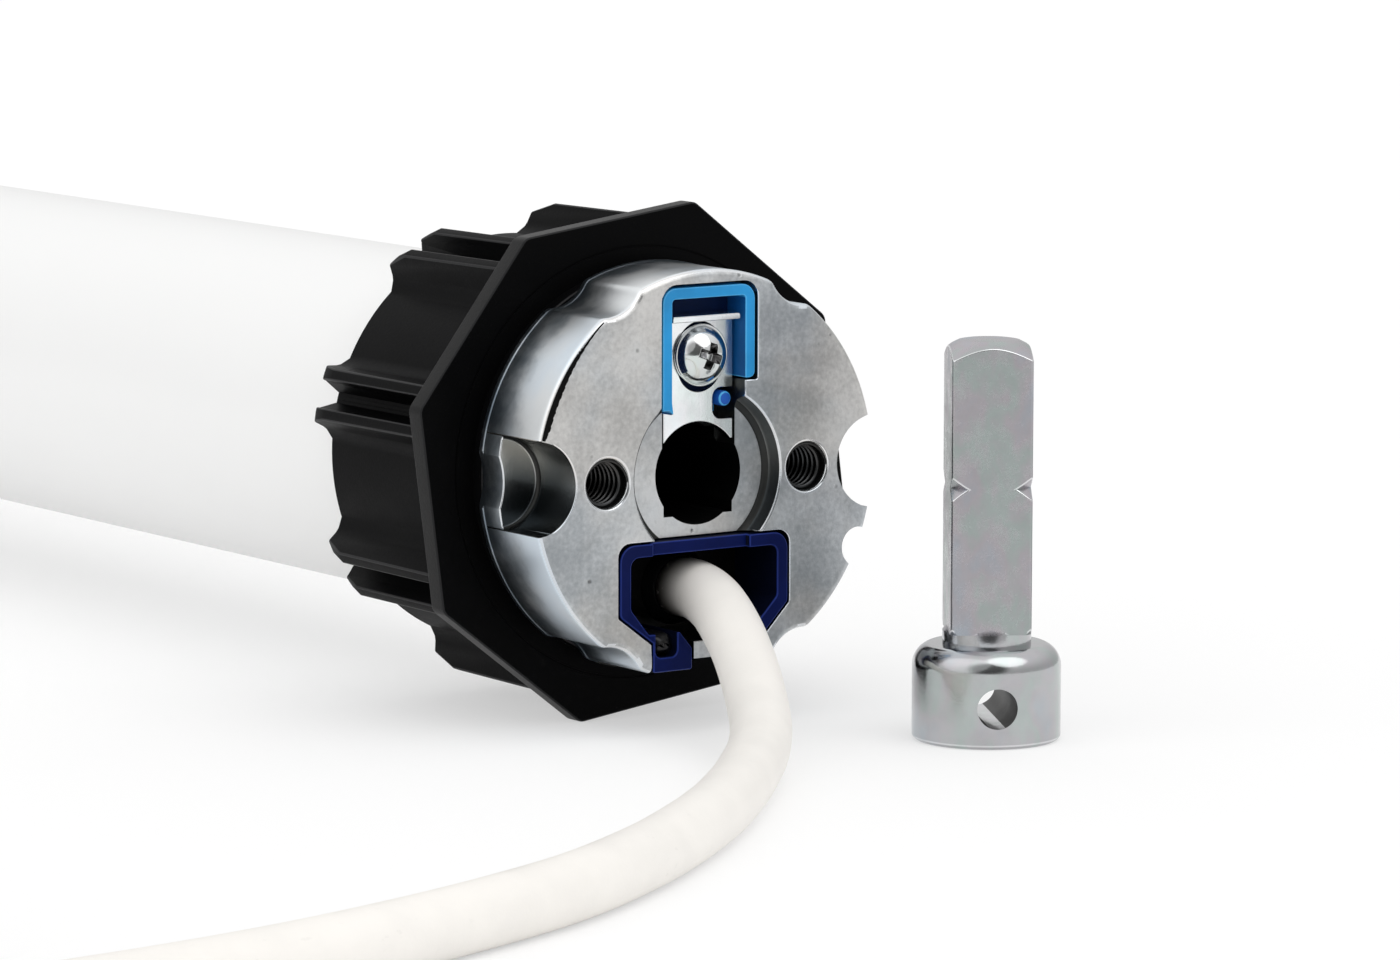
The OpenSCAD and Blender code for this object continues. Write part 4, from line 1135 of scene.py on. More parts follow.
@dataclass
class Head:
    """The zinc head with its soft scallops, pocket, tapped holes, stud bore and windows."""

    radius: float = 25.5
    depth: float = 13.0
    neck: float = 20.2
    neck_end: float = 17.0
    spigot: float = 21.65
    spigot_end: float = 31.0
    steps: int = 720
    scallop_angles: tuple[float, ...] = (60.0, 120.0, 240.0, 300.0)
    scallop_r: float = 5.5
    scallop_depth: float = 1.2
    pocket_r: float = 5.9
    pocket_depth: float = 8.4
    bore_r: float = 6.4
    bore_depth: float = 27.0
    square: float = 10.3
    recess_depth: float = 2.3
    tap_x: float = 15.0
    tap_r: float = 3.0
    tap_depth: float = 11.0
    slot_depth: float = 6.2
    window_depth: float = 12.3
    notch_r: float = 2.5
    notch_turn: float = 25.0
    thread_rise: float = 0.5
    thread_turns: int = 10
    crevice_from: float = 127.9
    crevice_sweep: float = 38.4
    crevice_inset: float = 0.3
    foot_radii: Point = (9.6, 10.5)
    foot_depths: Point = (1.6, 2.29)
    eased: tuple[Point, ...] = ((0.0, 1.0), (0.05, 0.68), (0.2, 0.34), (0.5, 0.1), (0.9, 0.0))

    def rim(self) -> list[float]:
        """Radius of the rim at each step round the head, with the scallops' lips eased.

        Returns:
            The radii.
        """
        middle = self.radius - self.scallop_depth + self.scallop_r
        raw = []
        for k in range(self.steps):
            reach = self.radius
            for angle in self.scallop_angles:
                off = math.radians(360 * k / self.steps - angle)
                inside = self.scallop_r**2 - (middle * math.sin(off)) ** 2
                if inside > 0 and math.cos(off) > 0:
                    reach = min(reach, middle * math.cos(off) - math.sqrt(inside))
            raw.append(reach)
        weights = [1, 2, 3, 2, 1]
        return [
            sum(w * raw[(k + i - 2) % self.steps] for i, w in enumerate(weights)) / sum(weights)
            for k in range(self.steps)
        ]

    def blank(self) -> Solid:
        """The head before its holes: rim with a rolled front edge and a back lip, neck and spigot.

        Returns:
            The solid.
        """
        rim = self.rim()
        lip = [(1.15, 0.0), (1.0, -0.1), (0.8, -0.14), (0.25, -0.14), (0.1, -0.05)]
        stations = [(y, inset, None) for y, inset in self.eased]
        stations += [(self.depth - y, inset, None) for y, inset in lip]
        stations += [(self.depth, 0.2, None), (self.depth, None, self.neck)]
        stations += [(self.neck_end, None, self.neck), (self.neck_end, None, self.spigot)]
        stations.append((self.spigot_end, None, self.spigot))
        turns = [2 * math.pi * k / self.steps for k in range(self.steps)]
        return Solid.skin([
            [polar(radius if inset is None else rim[k] - inset, turn, y) for k, turn in enumerate(turns)]
            for y, inset, radius in stations
        ])

    def edge(self, inset: float) -> float:
        """Depth of the rim's rolled front edge at an inset from the rim.

        Args:
            inset: distance inwards from the rim.

        Returns:
            The depth, from the face's plane.
        """
        for (y0, inset0), (y1, inset1) in zip(self.eased, self.eased[1:]):
            if inset >= inset1:
                return y0 + (y1 - y0) * max(0.0, inset0 - inset) / (inset0 - inset1)
        return self.eased[-1][0]

    def crevice(self) -> Solid:
        """The crevice inside the rim at the left, where face and rim were dressed apart: a dark sheet of
        painted shade.

        Returns:
            The solid, just proud of the rim.
        """
        rings, steps, near, proud, back = [], 76, self.crevice_inset, 0.012, 0.42
        for k in range(steps + 1):
            along = k / steps
            turn = math.radians(self.crevice_from + self.crevice_sweep * along)
            wide = 0.12 + 0.6 * min(1.0, 1.6 * along) * min(1.0, 0.45 + 6 * (1 - along))
            wide *= 1 + 0.07 * math.sin(1.3 * k) + 0.05 * math.sin(2.9 * k)
            bends = [inset for _, inset in self.eased[1:3] if inset < 0.29 + wide]
            insets = [near + wide, *bends, near]
            if len(insets) < 4:
                insets = [near + wide, near + wide * 0.67, near + wide * 0.33, near]
            ring = [(inset, self.edge(inset) - proud) for inset in insets]
            ring += [(0.36, back), (0.25 + wide, back)]
            rings.append([polar(self.radius - inset, turn, y) for inset, y in ring])
        return Solid.skin(rings)

    def cutters(self) -> list[Solid]:
        """Everything that is cut from the head.

        Returns:
            The cutting solids.
        """
        ease, low = self.pocket_r, self.pocket_depth
        pocket = [(0, -1), (ease, -1), (ease, low - 0.6), (ease - 0.12, low - 0.25)]
        pocket += [(ease - 0.35, low - 0.06), (ease - 0.6, low), (0, low)]
        notch = Solid.bar(self.notch_r, -1, self.depth + 0.1, (self.radius - 0.2, 0), 48)
        edge_cutters = [
            Solid.lathe(pocket, 96).moved(x=-self.radius),
            Solid.bar(9.0, self.pocket_depth - EPS, self.depth + 0.1, (-self.radius - 8.2, 0), 96),
            Solid.bar(self.pocket_r, -1, self.depth + 0.1, (self.radius, 0), 96),
            notch.turned(Axis.Y, self.notch_turn),
        ]
        recess = [(0, -1), (11.25, -1), (11.25, 0.0), (11.0, 0.1), (10.85, 0.35), (10.65, 1.4)]
        recess += [(10.4, 1.9), (10.0, 2.2), (9.6, self.recess_depth), (0, self.recess_depth)]
        half = self.square / 2
        square = Solid.box((-half, -1, -half), (half, self.bore_depth, half))
        middle = [Solid.lathe(recess, 128), Solid.bar(self.bore_r, -1, self.bore_depth, steps=96), square]
        taps = []
        for side in (-1, 1):
            mouth = [(0, -1), (3.5, -1), (3.3, 0), (self.tap_r, 0.3), (self.tap_r, self.tap_depth)]
            mouth.append((0, self.tap_depth + 1.5))
            taps.append(Solid.lathe(mouth, 48).moved(x=side * self.tap_x))
        slot = rounded([
            (-6.95, 23.85, 2.1), (7.45, 23.85, 2.1), (7.45, 11.45, 0.3), (5.55, 11.45, 0.0), (5.55, 0, 0),
            (-5.4, 0, 0), (-5.4, 8.05, 0.0), (-6.95, 8.05, 0.3),
        ])
        window = rounded([
            (-13.35, -7.65, 1.7), (12.35, -7.65, 1.7), (12.35, -16.82, 0.5),
            (8.72, -20.55, 0.3), (-2.15, -20.55, 0), (-2.15, -27, 0),
            (-8.45, -27, 0), (-8.45, -20.42, 0.3), (-13.35, -16.82, 0.5),
        ])
        openings = [
            Solid.prism(slot, -1, self.slot_depth),
            Solid.prism(window, -1, self.window_depth),
            Solid.box((-8, 0, -17.2), (8, self.spigot_end + 1, -8.6)),
            Solid.box((-2.4, -1, -27), (11.4, self.depth + 0.1, -22.7)),
            Solid.bar(2.02, 0, self.slot_depth + 8, (0.3, 14.7), 32),
        ]
        return [*edge_cutters, *middle, *taps, *openings]

    def thread(self, side: int) -> Solid:
        """Ridge of the thread in a tapped hole: pitch 1, from the mouth to the last turn.

        Args:
            side: -1 for the left hole, 1 for the right one.

        Returns:
            The solid.
        """
        rings, per_turn, fading, root = [], 36, 12, self.tap_r + 0.03
        last = per_turn * self.thread_turns
        for k in range(last + 1):
            turn = 2 * math.pi * k / per_turn
            y = 0.55 + k / per_turn
            crest = self.tap_r - self.thread_rise * min(1.0, k / fading, (last - k) / fading)
            ridge = ((root, -0.42), (crest, -0.07), (crest, 0.07), (root, 0.42))
            rings.append([polar(r, turn, y + dy, side * self.tap_x) for r, dy in ridge])
        return Solid.skin(rings)

    def rounds(self, middle: Vector) -> bool:
        """Whether an edge with this middle is rounded: in the face, and at the pocket's outer lip.

        Args:
            middle: middle of the edge.

        Returns:
            True where it is rounded.
        """
        if middle.y > 0.9:
            return abs(middle.y - self.pocket_depth) < 0.05 and middle.x < -23.5
        return middle.x < 19.0 and middle.z > -21 and 9.5 < math.hypot(middle.x, middle.z) < 23.8

    def surface(self, centre: Vector, normal: Vector) -> HeadZone:
        """Finish of a face.

        Args:
            centre: middle of the face.
            normal: its direction.

        Returns:
            The zone that it is finished as.
        """
        out = math.hypot(centre.x, centre.z)
        behind = centre.y > self.recess_depth + 0.3 and (abs(normal.y) < 0.5 or centre.y > 20)
        # The bore behind the recess: painted shade.
        if behind and out < 7.6:
            return HeadZone.BORE
        scooped = math.hypot(abs(centre.x) - self.radius, centre.z) < self.pocket_r + 0.05
        # In the pocket, creases take painted shade.
        if scooped and centre.x < 0 and 0.3 < centre.y < self.pocket_depth + 0.01:
            return HeadZone.SHADE if 0.15 < abs(normal.y) < 0.97 else HeadZone.POCKET
        (near, far), (high, low) = self.foot_radii, self.foot_depths
        # Foot of the recess: painted shade.
        if near < out < far and high < centre.y < low:
            return HeadZone.SHADE
        # Faces looking forward from deep inside, such as the windows' floors, take painted shade.
        if normal.y < -0.9:
            return HeadZone.FACE if centre.y < 4 else HeadZone.SHADE
        through = scooped and centre.x > 0
        # Outer faces: at the front edge, rubbed wear and a painted highlight; behind it, the side.
        if out > self.radius - self.scallop_depth - 0.9 and not through:
            return HeadZone.RIM if centre.y < 0.4 else HeadZone.SIDE
        # Tapped holes take the darkest painted shade, other inner walls the darker inner-wall zinc, also
        # painted shade.
        tapped = math.hypot(abs(centre.x) - self.tap_x, centre.z) < self.tap_r + 0.02
        return HeadZone.SHADE if tapped else HeadZone.WALL

    def build(self) -> None:
        """Makes the casting and its threads."""
        cast = self.blank().cut(*self.cutters()).split(Axis.Z)
        made = cast.piece(
            "cast_head", ZINC_FACE, 0.16, ZINC_RIM_HIGHLIGHT, self.surface,
            (ZINC_SIDE, PAINTED_DEEP_SHADE, ZINC_INNER_SHADE, ZINC_RIM_HIGHLIGHT, ZINC_SHADE, ZINC_POCKET),
            self.rounds,
        )
        fit(made, Body.MOTOR, "zinc", "head_casting")
        # The crevice is painted shade: a dark sheet just proud of the rim.
        fit(self.crevice().piece("rim_crevice_shade", PAINTED_DEEP_SHADE), Body.MOTOR, "zinc")
        for name, side in (("thread_left", -1), ("thread_right", 1)):
            fit(self.thread(side).piece(name, ZINC_THREAD_SHADE), Body.MOTOR, "zinc")


class ClipZone(IntEnum):
    """Finishes of the clip, in the order in which its piece takes them."""

    OUTSIDE = 0
    WALL = 1
    DEEP = 2
    PEG = 3


@dataclass
class Release:
    """The blue clip, the zinc-plated lock plate and its screw, above the bore."""

    clip_left: float = -6.7
    clip_right: float = 7.1
    clip_top: float = 23.4
    left_low: float = 8.3
    right_low: float = 11.7
    wall: float = 1.4
    back_y: float = 4.1
    back_t: float = 1.8
    plate_y0: float = 2.4
    plate_y1: float = 3.9
    plate_left: float = -5.15
    plate_right: float = 5.3
    plate_low: float = 4.0
    plate_top: float = 19.8
    screw: Point = (0.3, 14.7)
    peg: Point = (3.7, 9.1)

    def clip(self) -> Solid:
        """The clip's frame with its back and its round peg.

        Returns:
            The solid.
        """
        left, right, top = self.clip_left, self.clip_right, self.clip_top
        inner_right = right - self.wall
        outline = rounded([
            (left, self.left_low, 0.25), (left, top, 1.9), (right, top, 1.9), (right, self.right_low, 0.8),
            (right - self.wall - 2, self.right_low, 0), (right - self.wall - 2, self.left_low - 1, 0),
            (left + self.wall, self.left_low - 1, 0), (left + self.wall, self.left_low, 0.6),
        ])
        cavity = rounded([
            (left + self.wall, 0, 0), (left + self.wall, top - self.wall, 0.5),
            (inner_right, top - self.wall, 0.5), (inner_right, 0, 0),
        ])
        frame_part = Solid.prism(outline, 0.15, self.back_y + self.back_t).cut(
            Solid.prism(cavity, -1, self.back_y),
            Solid.bar(2.7, 0, 9, self.screw, 48),
        )
        rounded_peg = [(0, 1.55), (0.6, 1.6), (0.85, 1.75), (0.95, 2.05), (0.95, 4.6), (0, 4.6)]
        return frame_part.join(Solid.lathe(rounded_peg, 40).moved(self.peg[0], 0, self.peg[1]))

    def plate(self) -> Solid:
        """The sliding plate: bent lip, oval hole, peg notch and an arc at the bore.

        Returns:
            The solid.
        """
        left, right, low, top = self.plate_left, self.plate_right, self.plate_low, self.plate_top
        sheet = Solid.box((left, self.plate_y0, low), (right, self.plate_y1, top))
        start = left + 0.3
        bent = [(start, top - 0.8, 0), (right, top - 0.8, 0), (right, top, 0.3), (start, top, 0.3)]
        lip = Solid.prism(rounded(bent), self.plate_y0 - 1.7, self.plate_y0 + 0.3)
        corners = ((-2.9, 10.1), (3.5, 10.1), (3.5, 18.8), (-2.9, 18.8))
        oval = rounded([(x, z, 3.19) for x, z in corners], 12)
        past = right + 1
        notch = rounded([(2.3, 6.55, 1.25), (past, 6.55, 0), (past, 10.45, 0), (2.3, 10.45, 1.25)])
        return sheet.join(lip).cut(
            Solid.bar(6.4, 0, 8, steps=96), Solid.prism(oval, 0, 8), Solid.prism(notch, 0, 8)
        )

    def shade(self, centre: Vector, normal: Vector) -> ClipZone:
        """Finish of a face of the clip.

        Args:
            centre: middle of the face.
            normal: its direction.

        Returns:
            The zone that it is finished as.
        """
        if math.hypot(centre.x - self.peg[0], centre.z - self.peg[1]) < 1.7:
            return ClipZone.PEG
        inside = centre.x > self.clip_left + self.wall - 0.1 and centre.z < self.clip_top - 1.6
        if not inside or centre.y < 0.5:
            return ClipZone.OUTSIDE
        # Inside the clip, the walls and the deep part take painted shade.
        if normal.x < -0.7 and centre.x < self.clip_right - 0.5:
            return ClipZone.WALL
        return ClipZone.DEEP if centre.x < 6 else ClipZone.OUTSIDE

    def recessed(self, centre: Vector, normal: Vector) -> int:
        """Number of the finish for a face of the screw: 0 outside, 1 in the cross recess, in painted shade.
        """
        out = math.hypot(centre.x - self.screw[0], centre.z - self.screw[1])
        return 1 if out < 2.0 and normal.y > -0.75 and centre.y < 2 else 0

    def pan_screw(self) -> Solid:
        """Domed screw with a washer face and a cross recess.

        Returns:
            The solid.
        """
        dome = [(0, -0.4), (0.8, -0.33), (1.6, -0.1), (2.4, 0.36), (3.0, 0.92), (3.4, 1.5), (3.56, 1.85)]
        washer = [(3.64, 1.93), (3.76, 1.87), (3.88, 1.94), (3.9, 2.3)]
        body = Solid.lathe([*dome, *washer, (2.6, 2.3), (2.6, 6.2), (2.0, 6.2), (2.0, 13.0), (0, 13.2)], 96)
        blades = []
        for turn in (20, 110):
            rings = []
            for y, long, thick in ((-1.2, 2.15, 0.72), (0.0, 1.65, 0.55), (0.9, 0.9, 0.4), (1.2, 0.5, 0.3)):
                corners = ((-long, -thick), (long, -thick), (long, thick), (-long, thick))
                rings.append([Vector((x, y, z)) for x, z in corners])
            blades.append(Solid.skin(rings).turned(Axis.Y, turn))
        return body.cut(*blades).moved(self.screw[0], 0, self.screw[1])

    def build(self) -> None:
        """Makes the clip, the plate and the screw."""
        extra = (SKY_SHADE, SKY_DEEP_SHADE, SKY_PEG)
        clip = self.clip().piece("blue_clip", SKY_BLUE, 0.14, SKY_EDGE_HIGHLIGHT, self.shade, extra)
        fit(clip, Body.MOTOR, "light_blue", "release_clip")
        plate = self.plate().piece("plated_lock_plate", BRIGHT_ZINC, 0.12, CHROMATE_EDGE_AND_LIT_HOLE)
        fit(plate, Body.PLATE, "zinc_plate", "lock_plate")
        screw = self.pan_screw().piece("pan_screw", SCREW_PLATE, 0.07, None, self.recessed, (SCREW_RECESS_SHADE,))
        fit(screw, Body.MOTOR, "plated_screw", "clip_screw")


@dataclass
class Outlet:
    """The dark-blue cable insert with its leg, the latch in it and the plug in its cavity."""

    left: float = -13.1
    right: float = 12.1
    top: float = -7.9
    side: float = -16.7
    low: float = -20.3
    leg_left: float = -8.2
    leg_right: float = -2.4
    leg_low: float = -24.0
    wall: float = 1.6
    depth: float = 12.0
    plug_face: float = 9.0
    exit: Point = (1.0, -14.9)

    def insert(self) -> Solid:
        """The frame: two proud corner blocks, a top bar that follows the recess, and a leg.

        Returns:
            The solid.
        """
        outline = rounded([
            (self.left, self.top, 2.1), (self.right, self.top, 2.1), (self.right, self.side, 0.9),
            (self.right - 3.5, self.low, 0.6), (self.leg_right, self.low, 0),
            (self.leg_right, self.leg_low, 0.3), (self.leg_left, self.leg_low, 0.3),
            (self.leg_left, self.low, 0), (self.left, self.side, 0.9),
        ])
        inner_left, inner_right = self.left + self.wall, self.right - self.wall
        cavity = rounded([
            (inner_left, self.top - self.wall, 1.2), (inner_right, self.top - self.wall, 1.0),
            (inner_right, self.side + 0.8, 1.0), (inner_right - 3, self.low + 1.3, 0.2),
            (inner_right - 3, self.low - 1, 0), (self.leg_right - EPS, self.low - 1, 0),
            (self.leg_right - 1.8, self.low + 1.1, 0.2), (self.leg_left - 0.6, self.low + 1.1, 0.2),
            (inner_left, self.side + 0.8, 1.0),
        ])
        pocket = rounded([
            (self.leg_left + 0.35, self.leg_low + 1.8, 0.9),
            (self.leg_right - 2.2, self.leg_low + 1.8, 0.9),
            (self.leg_right - 2.2, self.low + 1.4, 0), (self.leg_left + 0.35, self.low + 1.4, 0),
        ])
        return Solid.prism(outline, 0, self.depth).cut(
            Solid.prism(cavity, -1, self.depth + 1),
            Solid.box((-8.2, -1, -10.8), (6.3, 0.9, -7)),
            Solid.prism(pocket, -1, self.depth - 3),
        )

    def latch(self) -> Solid:
        """The spring latch in the leg: a block with a rounded nose.

        Returns:
            The solid.
        """
        x0, x1 = self.leg_left + 0.45, self.leg_right - 2.3
        z0, z1 = self.leg_low + 1.9, self.low + 0.9
        rings = []
        nose = [(0.5, 1.0), (0.65, 0.7), (1.0, 0.35), (1.6, 0.1), (2.2, 0.0), (self.depth - 3.2, 0.0)]
        for y, ease in nose:
            left, low, right, high = x0 + ease, z0 + ease, x1 - ease, z1 - ease
            corners = ((left, low), (right, low), (right, high), (left, high))
            outline = rounded([(x, z, 0.55) for x, z in corners])
            rings.append([Vector((x, y, z)) for x, z in outline])
        return Solid.skin(rings)

    def plug(self) -> Solid:
        """The plug in the cavity, with a tapered collar round the cable.

        Returns:
            The solid.
        """
        face = Solid.box(
            (self.left + self.wall + 0.1, self.plug_face + 0.05, self.side - 1.6),
            (self.right - self.wall - 0.1, self.depth + 0.1, self.top - self.wall - 0.1),
        )
        block = Solid.box((-7.9, self.depth, -17.1), (7.9, 28, -8.7))
        collar = [(3.8, 7.4), (4.0, 7.4), (4.2, 7.7), (4.9, 8.8), (4.9, 9.6), (3.8, 9.6)]
        ring = Solid.lathe(collar, 48, closed=True).moved(self.exit[0], 0, self.exit[1])
        return face.join(block, ring)

    def inner(self, centre: Vector, normal: Vector) -> int:
        """Number of the finish for a face of the insert: 0 in its front, 1 inside it, in painted shade."""
        return 0 if normal.y < -0.5 and centre.y < 1.5 else 1

    def build(self) -> None:
        """Makes the insert, the latch and the plug."""
        insert = self.insert().piece(
            "blue_insert", NAVY, 0.16, NAVY_EDGE_HIGHLIGHT,
            self.inner, (NAVY_DEEP_SHADE,),
            lambda middle: middle.y < 1.2,
        )
        fit(insert, Body.MOTOR, "dark_blue", "cable_insert")
        latch = self.latch().piece("leg_latch", BLACK_GLOSS)
        fit(latch, Body.MOTOR, "black_plastic", "insert_latch")
        fit(self.plug().piece("plug_block", BLACK), Body.MOTOR, "black_plastic", "cable_plug")


# Crown, tube and drive


@dataclass
class Ribs:
    """Pairs of ribs round a barrel, as on the crown and the drive wheel."""

    barrel: float = 26.4
    reach: float = 30.7
    thick: float = 1.2
    pair: float = 4.9
    flare: float = 2.3
    turn: float = 15.0
    count: int = 8
    tips: float = 28.7

    def outline(self) -> list[Point]:
        """One rib along X, with both flanks flared at the root.

        Returns:
            Its outline in X and Z.
        """
        inner, outer = self.pair / 2 - self.thick / 2, self.pair / 2 + self.thick / 2
        tip = self.reach + 1
        return [
            (self.barrel - 1, inner - 1.2), (self.barrel + 0.1, inner - 1.15),
            (self.barrel + 2.3, inner - 0.1), (tip, inner), (tip, outer),
            (self.barrel + 1.2, outer + 0.9), (self.barrel + 0.6, outer + 1.15),
            (self.barrel + 0.2, outer + 1.5),
            (self.barrel - 0.7, outer + self.flare), (self.barrel - 1, outer + self.flare),
        ]

    def pairs(self, y0: float, y1: float) -> Solid:
        """All ribs from y0 to y1, with a lead-in at the far end.

        Args:
            y0: where they start.
            y1: where they end.

        Returns:
            The ribs as one solid.
        """
        rib = self.outline()
        mirrored = [(x, -z) for x, z in reversed(rib)]
        low, high = self.barrel - 1, self.barrel + 0.3
        line = [(low, -0.2), (high, -0.2), (high, 0.2), (low, 0.2)]
        parts = []
        for i in range(self.count):
            for outline, far in ((rib, y1), (mirrored, y1), (line, y1 - 1.0)):
                part = Solid.prism(outline, y0, far)
                parts.append(part.turned(Axis.Y, self.turn - 90 + i * 360 / self.count))
        envelope = [
            (0, y0 - EPS), (self.reach + 0.2, y0 - EPS), (self.reach, y1 - 4.2),
            (self.reach - 1.4, y1 + EPS), (0, y1 + EPS),
        ]
        return parts[0].join(*parts[1:]).within(Solid.lathe(envelope, 144))


class CrownZone(IntEnum):
    """Finishes of the crown, in the order in which its piece takes them."""

    RIBS = 0
    FACE = 1
    SIDES = 2


@dataclass
class Crown:
    """The black octagonal crown that turns on the head's neck."""

    flange_af: float = 61.8
    corner_r: float = 1.6
    hub: float = 24.6
    lip_y0: float = 13.35
    flange_y0: float = 15.4
    flange_y1: float = 18.1
    lip_y1: float = 16.65
    barrel_end: float = 45.5
    neck_bore: float = 20.25
    bore: float = 22.6
    core_bore: float = 24.3

    def rounds(self, middle: Vector, tips: float) -> bool:
        """Whether an edge with this middle is rounded: on the flange, off its groove, and at the tips."""
        out = math.hypot(middle.x, middle.z)
        return out > tips or (middle.y < self.flange_y1 - 0.1 and not 26.5 < out < 28)

    def surface(self, centre: Vector, normal: Vector) -> CrownZone:
        """Finish of a face: only the flange differs from the ribs.

        Args:
            centre: middle of the face.
            normal: its direction.

        Returns:
            The zone that it is finished as.
        """
        if centre.y > self.flange_y1:
            return CrownZone.RIBS
        if normal.y < -0.9:
            return CrownZone.FACE
        outside = abs(normal.y) < 0.1 and math.hypot(centre.x, centre.z) > self.flange_af / 2 - 0.1
        return CrownZone.SIDES if outside else CrownZone.RIBS

    def build(self) -> None:
        """Makes the crown."""
        ribs = Ribs()
        out = self.flange_af / 2 / math.cos(math.pi / ribs.count)
        angles = [math.radians(90 - ribs.turn + 360 * k / ribs.count) for k in range(ribs.count)]
        flange = rounded([(out * math.cos(a), out * math.sin(a), self.corner_r) for a in angles], 5)
        solid = Solid.prism(flange, self.flange_y0, self.flange_y1).join(
            Solid.bar(self.hub, self.lip_y0, self.flange_y0 + 0.5, steps=128),
            Solid.bar(ribs.barrel, self.flange_y1 - 0.5, self.barrel_end, steps=144),
            ribs.pairs(self.flange_y1 - 0.5, self.barrel_end),
        )
        front, deep = self.flange_y0 - 0.3, self.flange_y0 + 0.18
        groove = [(27.0, front), (27.35, front), (27.3, deep), (27.05, deep)]
        solid = solid.cut(
            Solid.bar(self.neck_bore, self.lip_y0 - 1, self.lip_y1 + 0.5, steps=128),
            Solid.bar(self.bore, self.lip_y1, self.barrel_end + 1, steps=128),
            Solid.bar(self.core_bore, self.lip_y1 + 3, self.barrel_end - 5, steps=128),
            Solid.lathe(groove, 144, closed=True),
        )
        made = solid.piece(
            "moulded_crown", BLACK, 0.22, BLACK_EDGE,
            self.surface, (BLACK_FACE, BLACK_SIDE),
            zone=lambda middle: self.rounds(middle, ribs.tips),
        )
        fit(made, Body.CROWN, "black_plastic", "crown_ring")


@dataclass
class TubeAndDrive:
    """The coated tube, its end cap with four screws, the drive wheel and the wheel's screw."""

    radius: float = 22.5
    inner: float = 21.7
    start: float = 17.0
    end: float = 487.0
    cap_t: float = 3.0
    cap_bore: float = 9.02
    cap_fit: float = 21.6
    cap_deep: float = 14.0
    wheel_y0: float = 491.0
    wheel_y1: float = 525.0
    drive_r: float = 6.0
    drive_flat: float = 4.8

    def tube(self) -> None:
        """Makes the coated tube with rolled ends."""
        outer = [(self.radius - 0.25, self.start), (self.radius, self.start + 0.25)]
        outer += [(self.radius, self.start + (self.end - self.start) * k / 24) for k in range(1, 24)]
        outer += [(self.radius, self.end - 0.25), (self.radius - 0.25, self.end)]
        profile = [*outer, (self.inner, self.end), (self.inner, self.start)]
        tube = Solid.lathe(profile, 192, closed=True).piece("coated_tube", WHITE_COAT)
        fit(tube, Body.MOTOR, "white_tube", "motor_tube")

    def cap(self) -> None:
        """Makes the end cap with its moulded rim, and the screws that hold it."""
        y0, y1 = self.end, self.end + self.cap_t
        cap = Solid.lathe([
            (self.cap_bore, y0 - self.cap_deep), (self.cap_fit, y0 - self.cap_deep), (self.cap_fit, y0),
            (self.radius, y0), (self.radius, y1), (20.3, y1),
            (19.9, y1 - 0.7), (11.6, y1 - 0.7), (11.2, y1), (self.cap_bore, y1),
        ], 144, closed=True)
        fit(cap.piece("end_cap", GREY_PLASTIC, 0.2), Body.MOTOR, "grey_plastic", "gearbox_end_cap")
        dome = [(0, 1.35), (0.9, 1.3), (1.8, 1.05), (2.4, 0.6), (2.7, 0.1), (2.7, -0.1)]
        dome += [(1.5, -0.1), (1.5, -6), (0, -6)]
        screws = []
        for k in range(4):
            head = Solid.lathe(dome, 40).cut(*[
                Solid.box((-1.5, 0.75, -0.28), (1.5, 2, 0.28)).turned(Axis.Y, turn) for turn in (45, 135)
            ])
            head = head.turned(Axis.Z, -90).moved(self.radius, 0, 0).moved(0, y0 - 7, 0)
            screws.append(head.turned(Axis.Y, 45 + 90 * k))
        made = screws[0].join(*screws[1:]).piece("cap_screws", SCREW_PLATE, 0.08)
        fit(made, Body.MOTOR, "plated_screw", "gearbox_screws")

    def wheel(self) -> None:
        """Makes the ribbed drive wheel with its hub, web and spokes."""
        ribs = Ribs()
        y0, y1 = self.wheel_y0, self.wheel_y1
        inner, hub = ribs.barrel - 3, self.drive_r + 4.5
        band = [(inner, y0), (ribs.barrel, y0), (ribs.barrel, y1), (inner, y1)]
        rim = Solid.lathe(band, 144, closed=True)
        spokes = []
        for k in range(4):
            spoke = Solid.box((hub - 1, y0, -1.25), (inner + 0.5, y1 - 2, 1.25))
            spokes.append(spoke.turned(Axis.Y, ribs.turn - 90 + 90 * k))
        lugs = ribs.pairs(y0, y1).cut(Solid.bar(inner + 1, y0 - 1, y1 + 1, steps=96))
        solid = rim.join(
            lugs, Solid.bar(hub, y0, y1, steps=96), Solid.bar(inner + 0.5, y0, y0 + 3, steps=96), *spokes
        )
        key = Solid.bar(self.drive_r + 0.1, y0 - 1, y1 + 1).within(
            Solid.box((-self.drive_flat - 0.1, y0 - 2, -9), (self.drive_flat + 0.1, y1 + 2, 9))
        )
        made = solid.cut(key).piece(
            "ribbed_wheel", BLACK, 0.2, BLACK_EDGE,
            zone=lambda middle: math.hypot(middle.x, middle.z) > ribs.tips,
        )
        fit(made, Body.OUTPUT, "black_plastic", "drive_wheel")

    def wheel_screw(self) -> None:
        """Makes the screw and washer that hold the wheel."""
        y = self.wheel_y1
        out = self.drive_r + 3
        profile = [(0, y - 13.5), (2.5, y - 13.5), (2.5, y), (out - 0.3, y), (out, y + 0.3), (out, y + 1.2)]
        profile += [(out - 0.3, y + 1.5), (4.6, y + 1.5), (4.5, y + 2.4), (4.1, y + 3.6), (3.1, y + 4.4)]
        profile += [(1.6, y + 4.8), (0, y + 4.9)]
        blade = (-2.4, y + 3, -0.5), (2.4, y + 6, 0.5)
        slots = [Solid.box(*blade).turned(Axis.Y, turn) for turn in (30, 120)]
        made = Solid.lathe(profile, 72).cut(*slots).piece("wheel_screw", SCREW_PLATE, 0.06)
        fit(made, Body.OUTPUT, "plated_screw", "drive_screw")

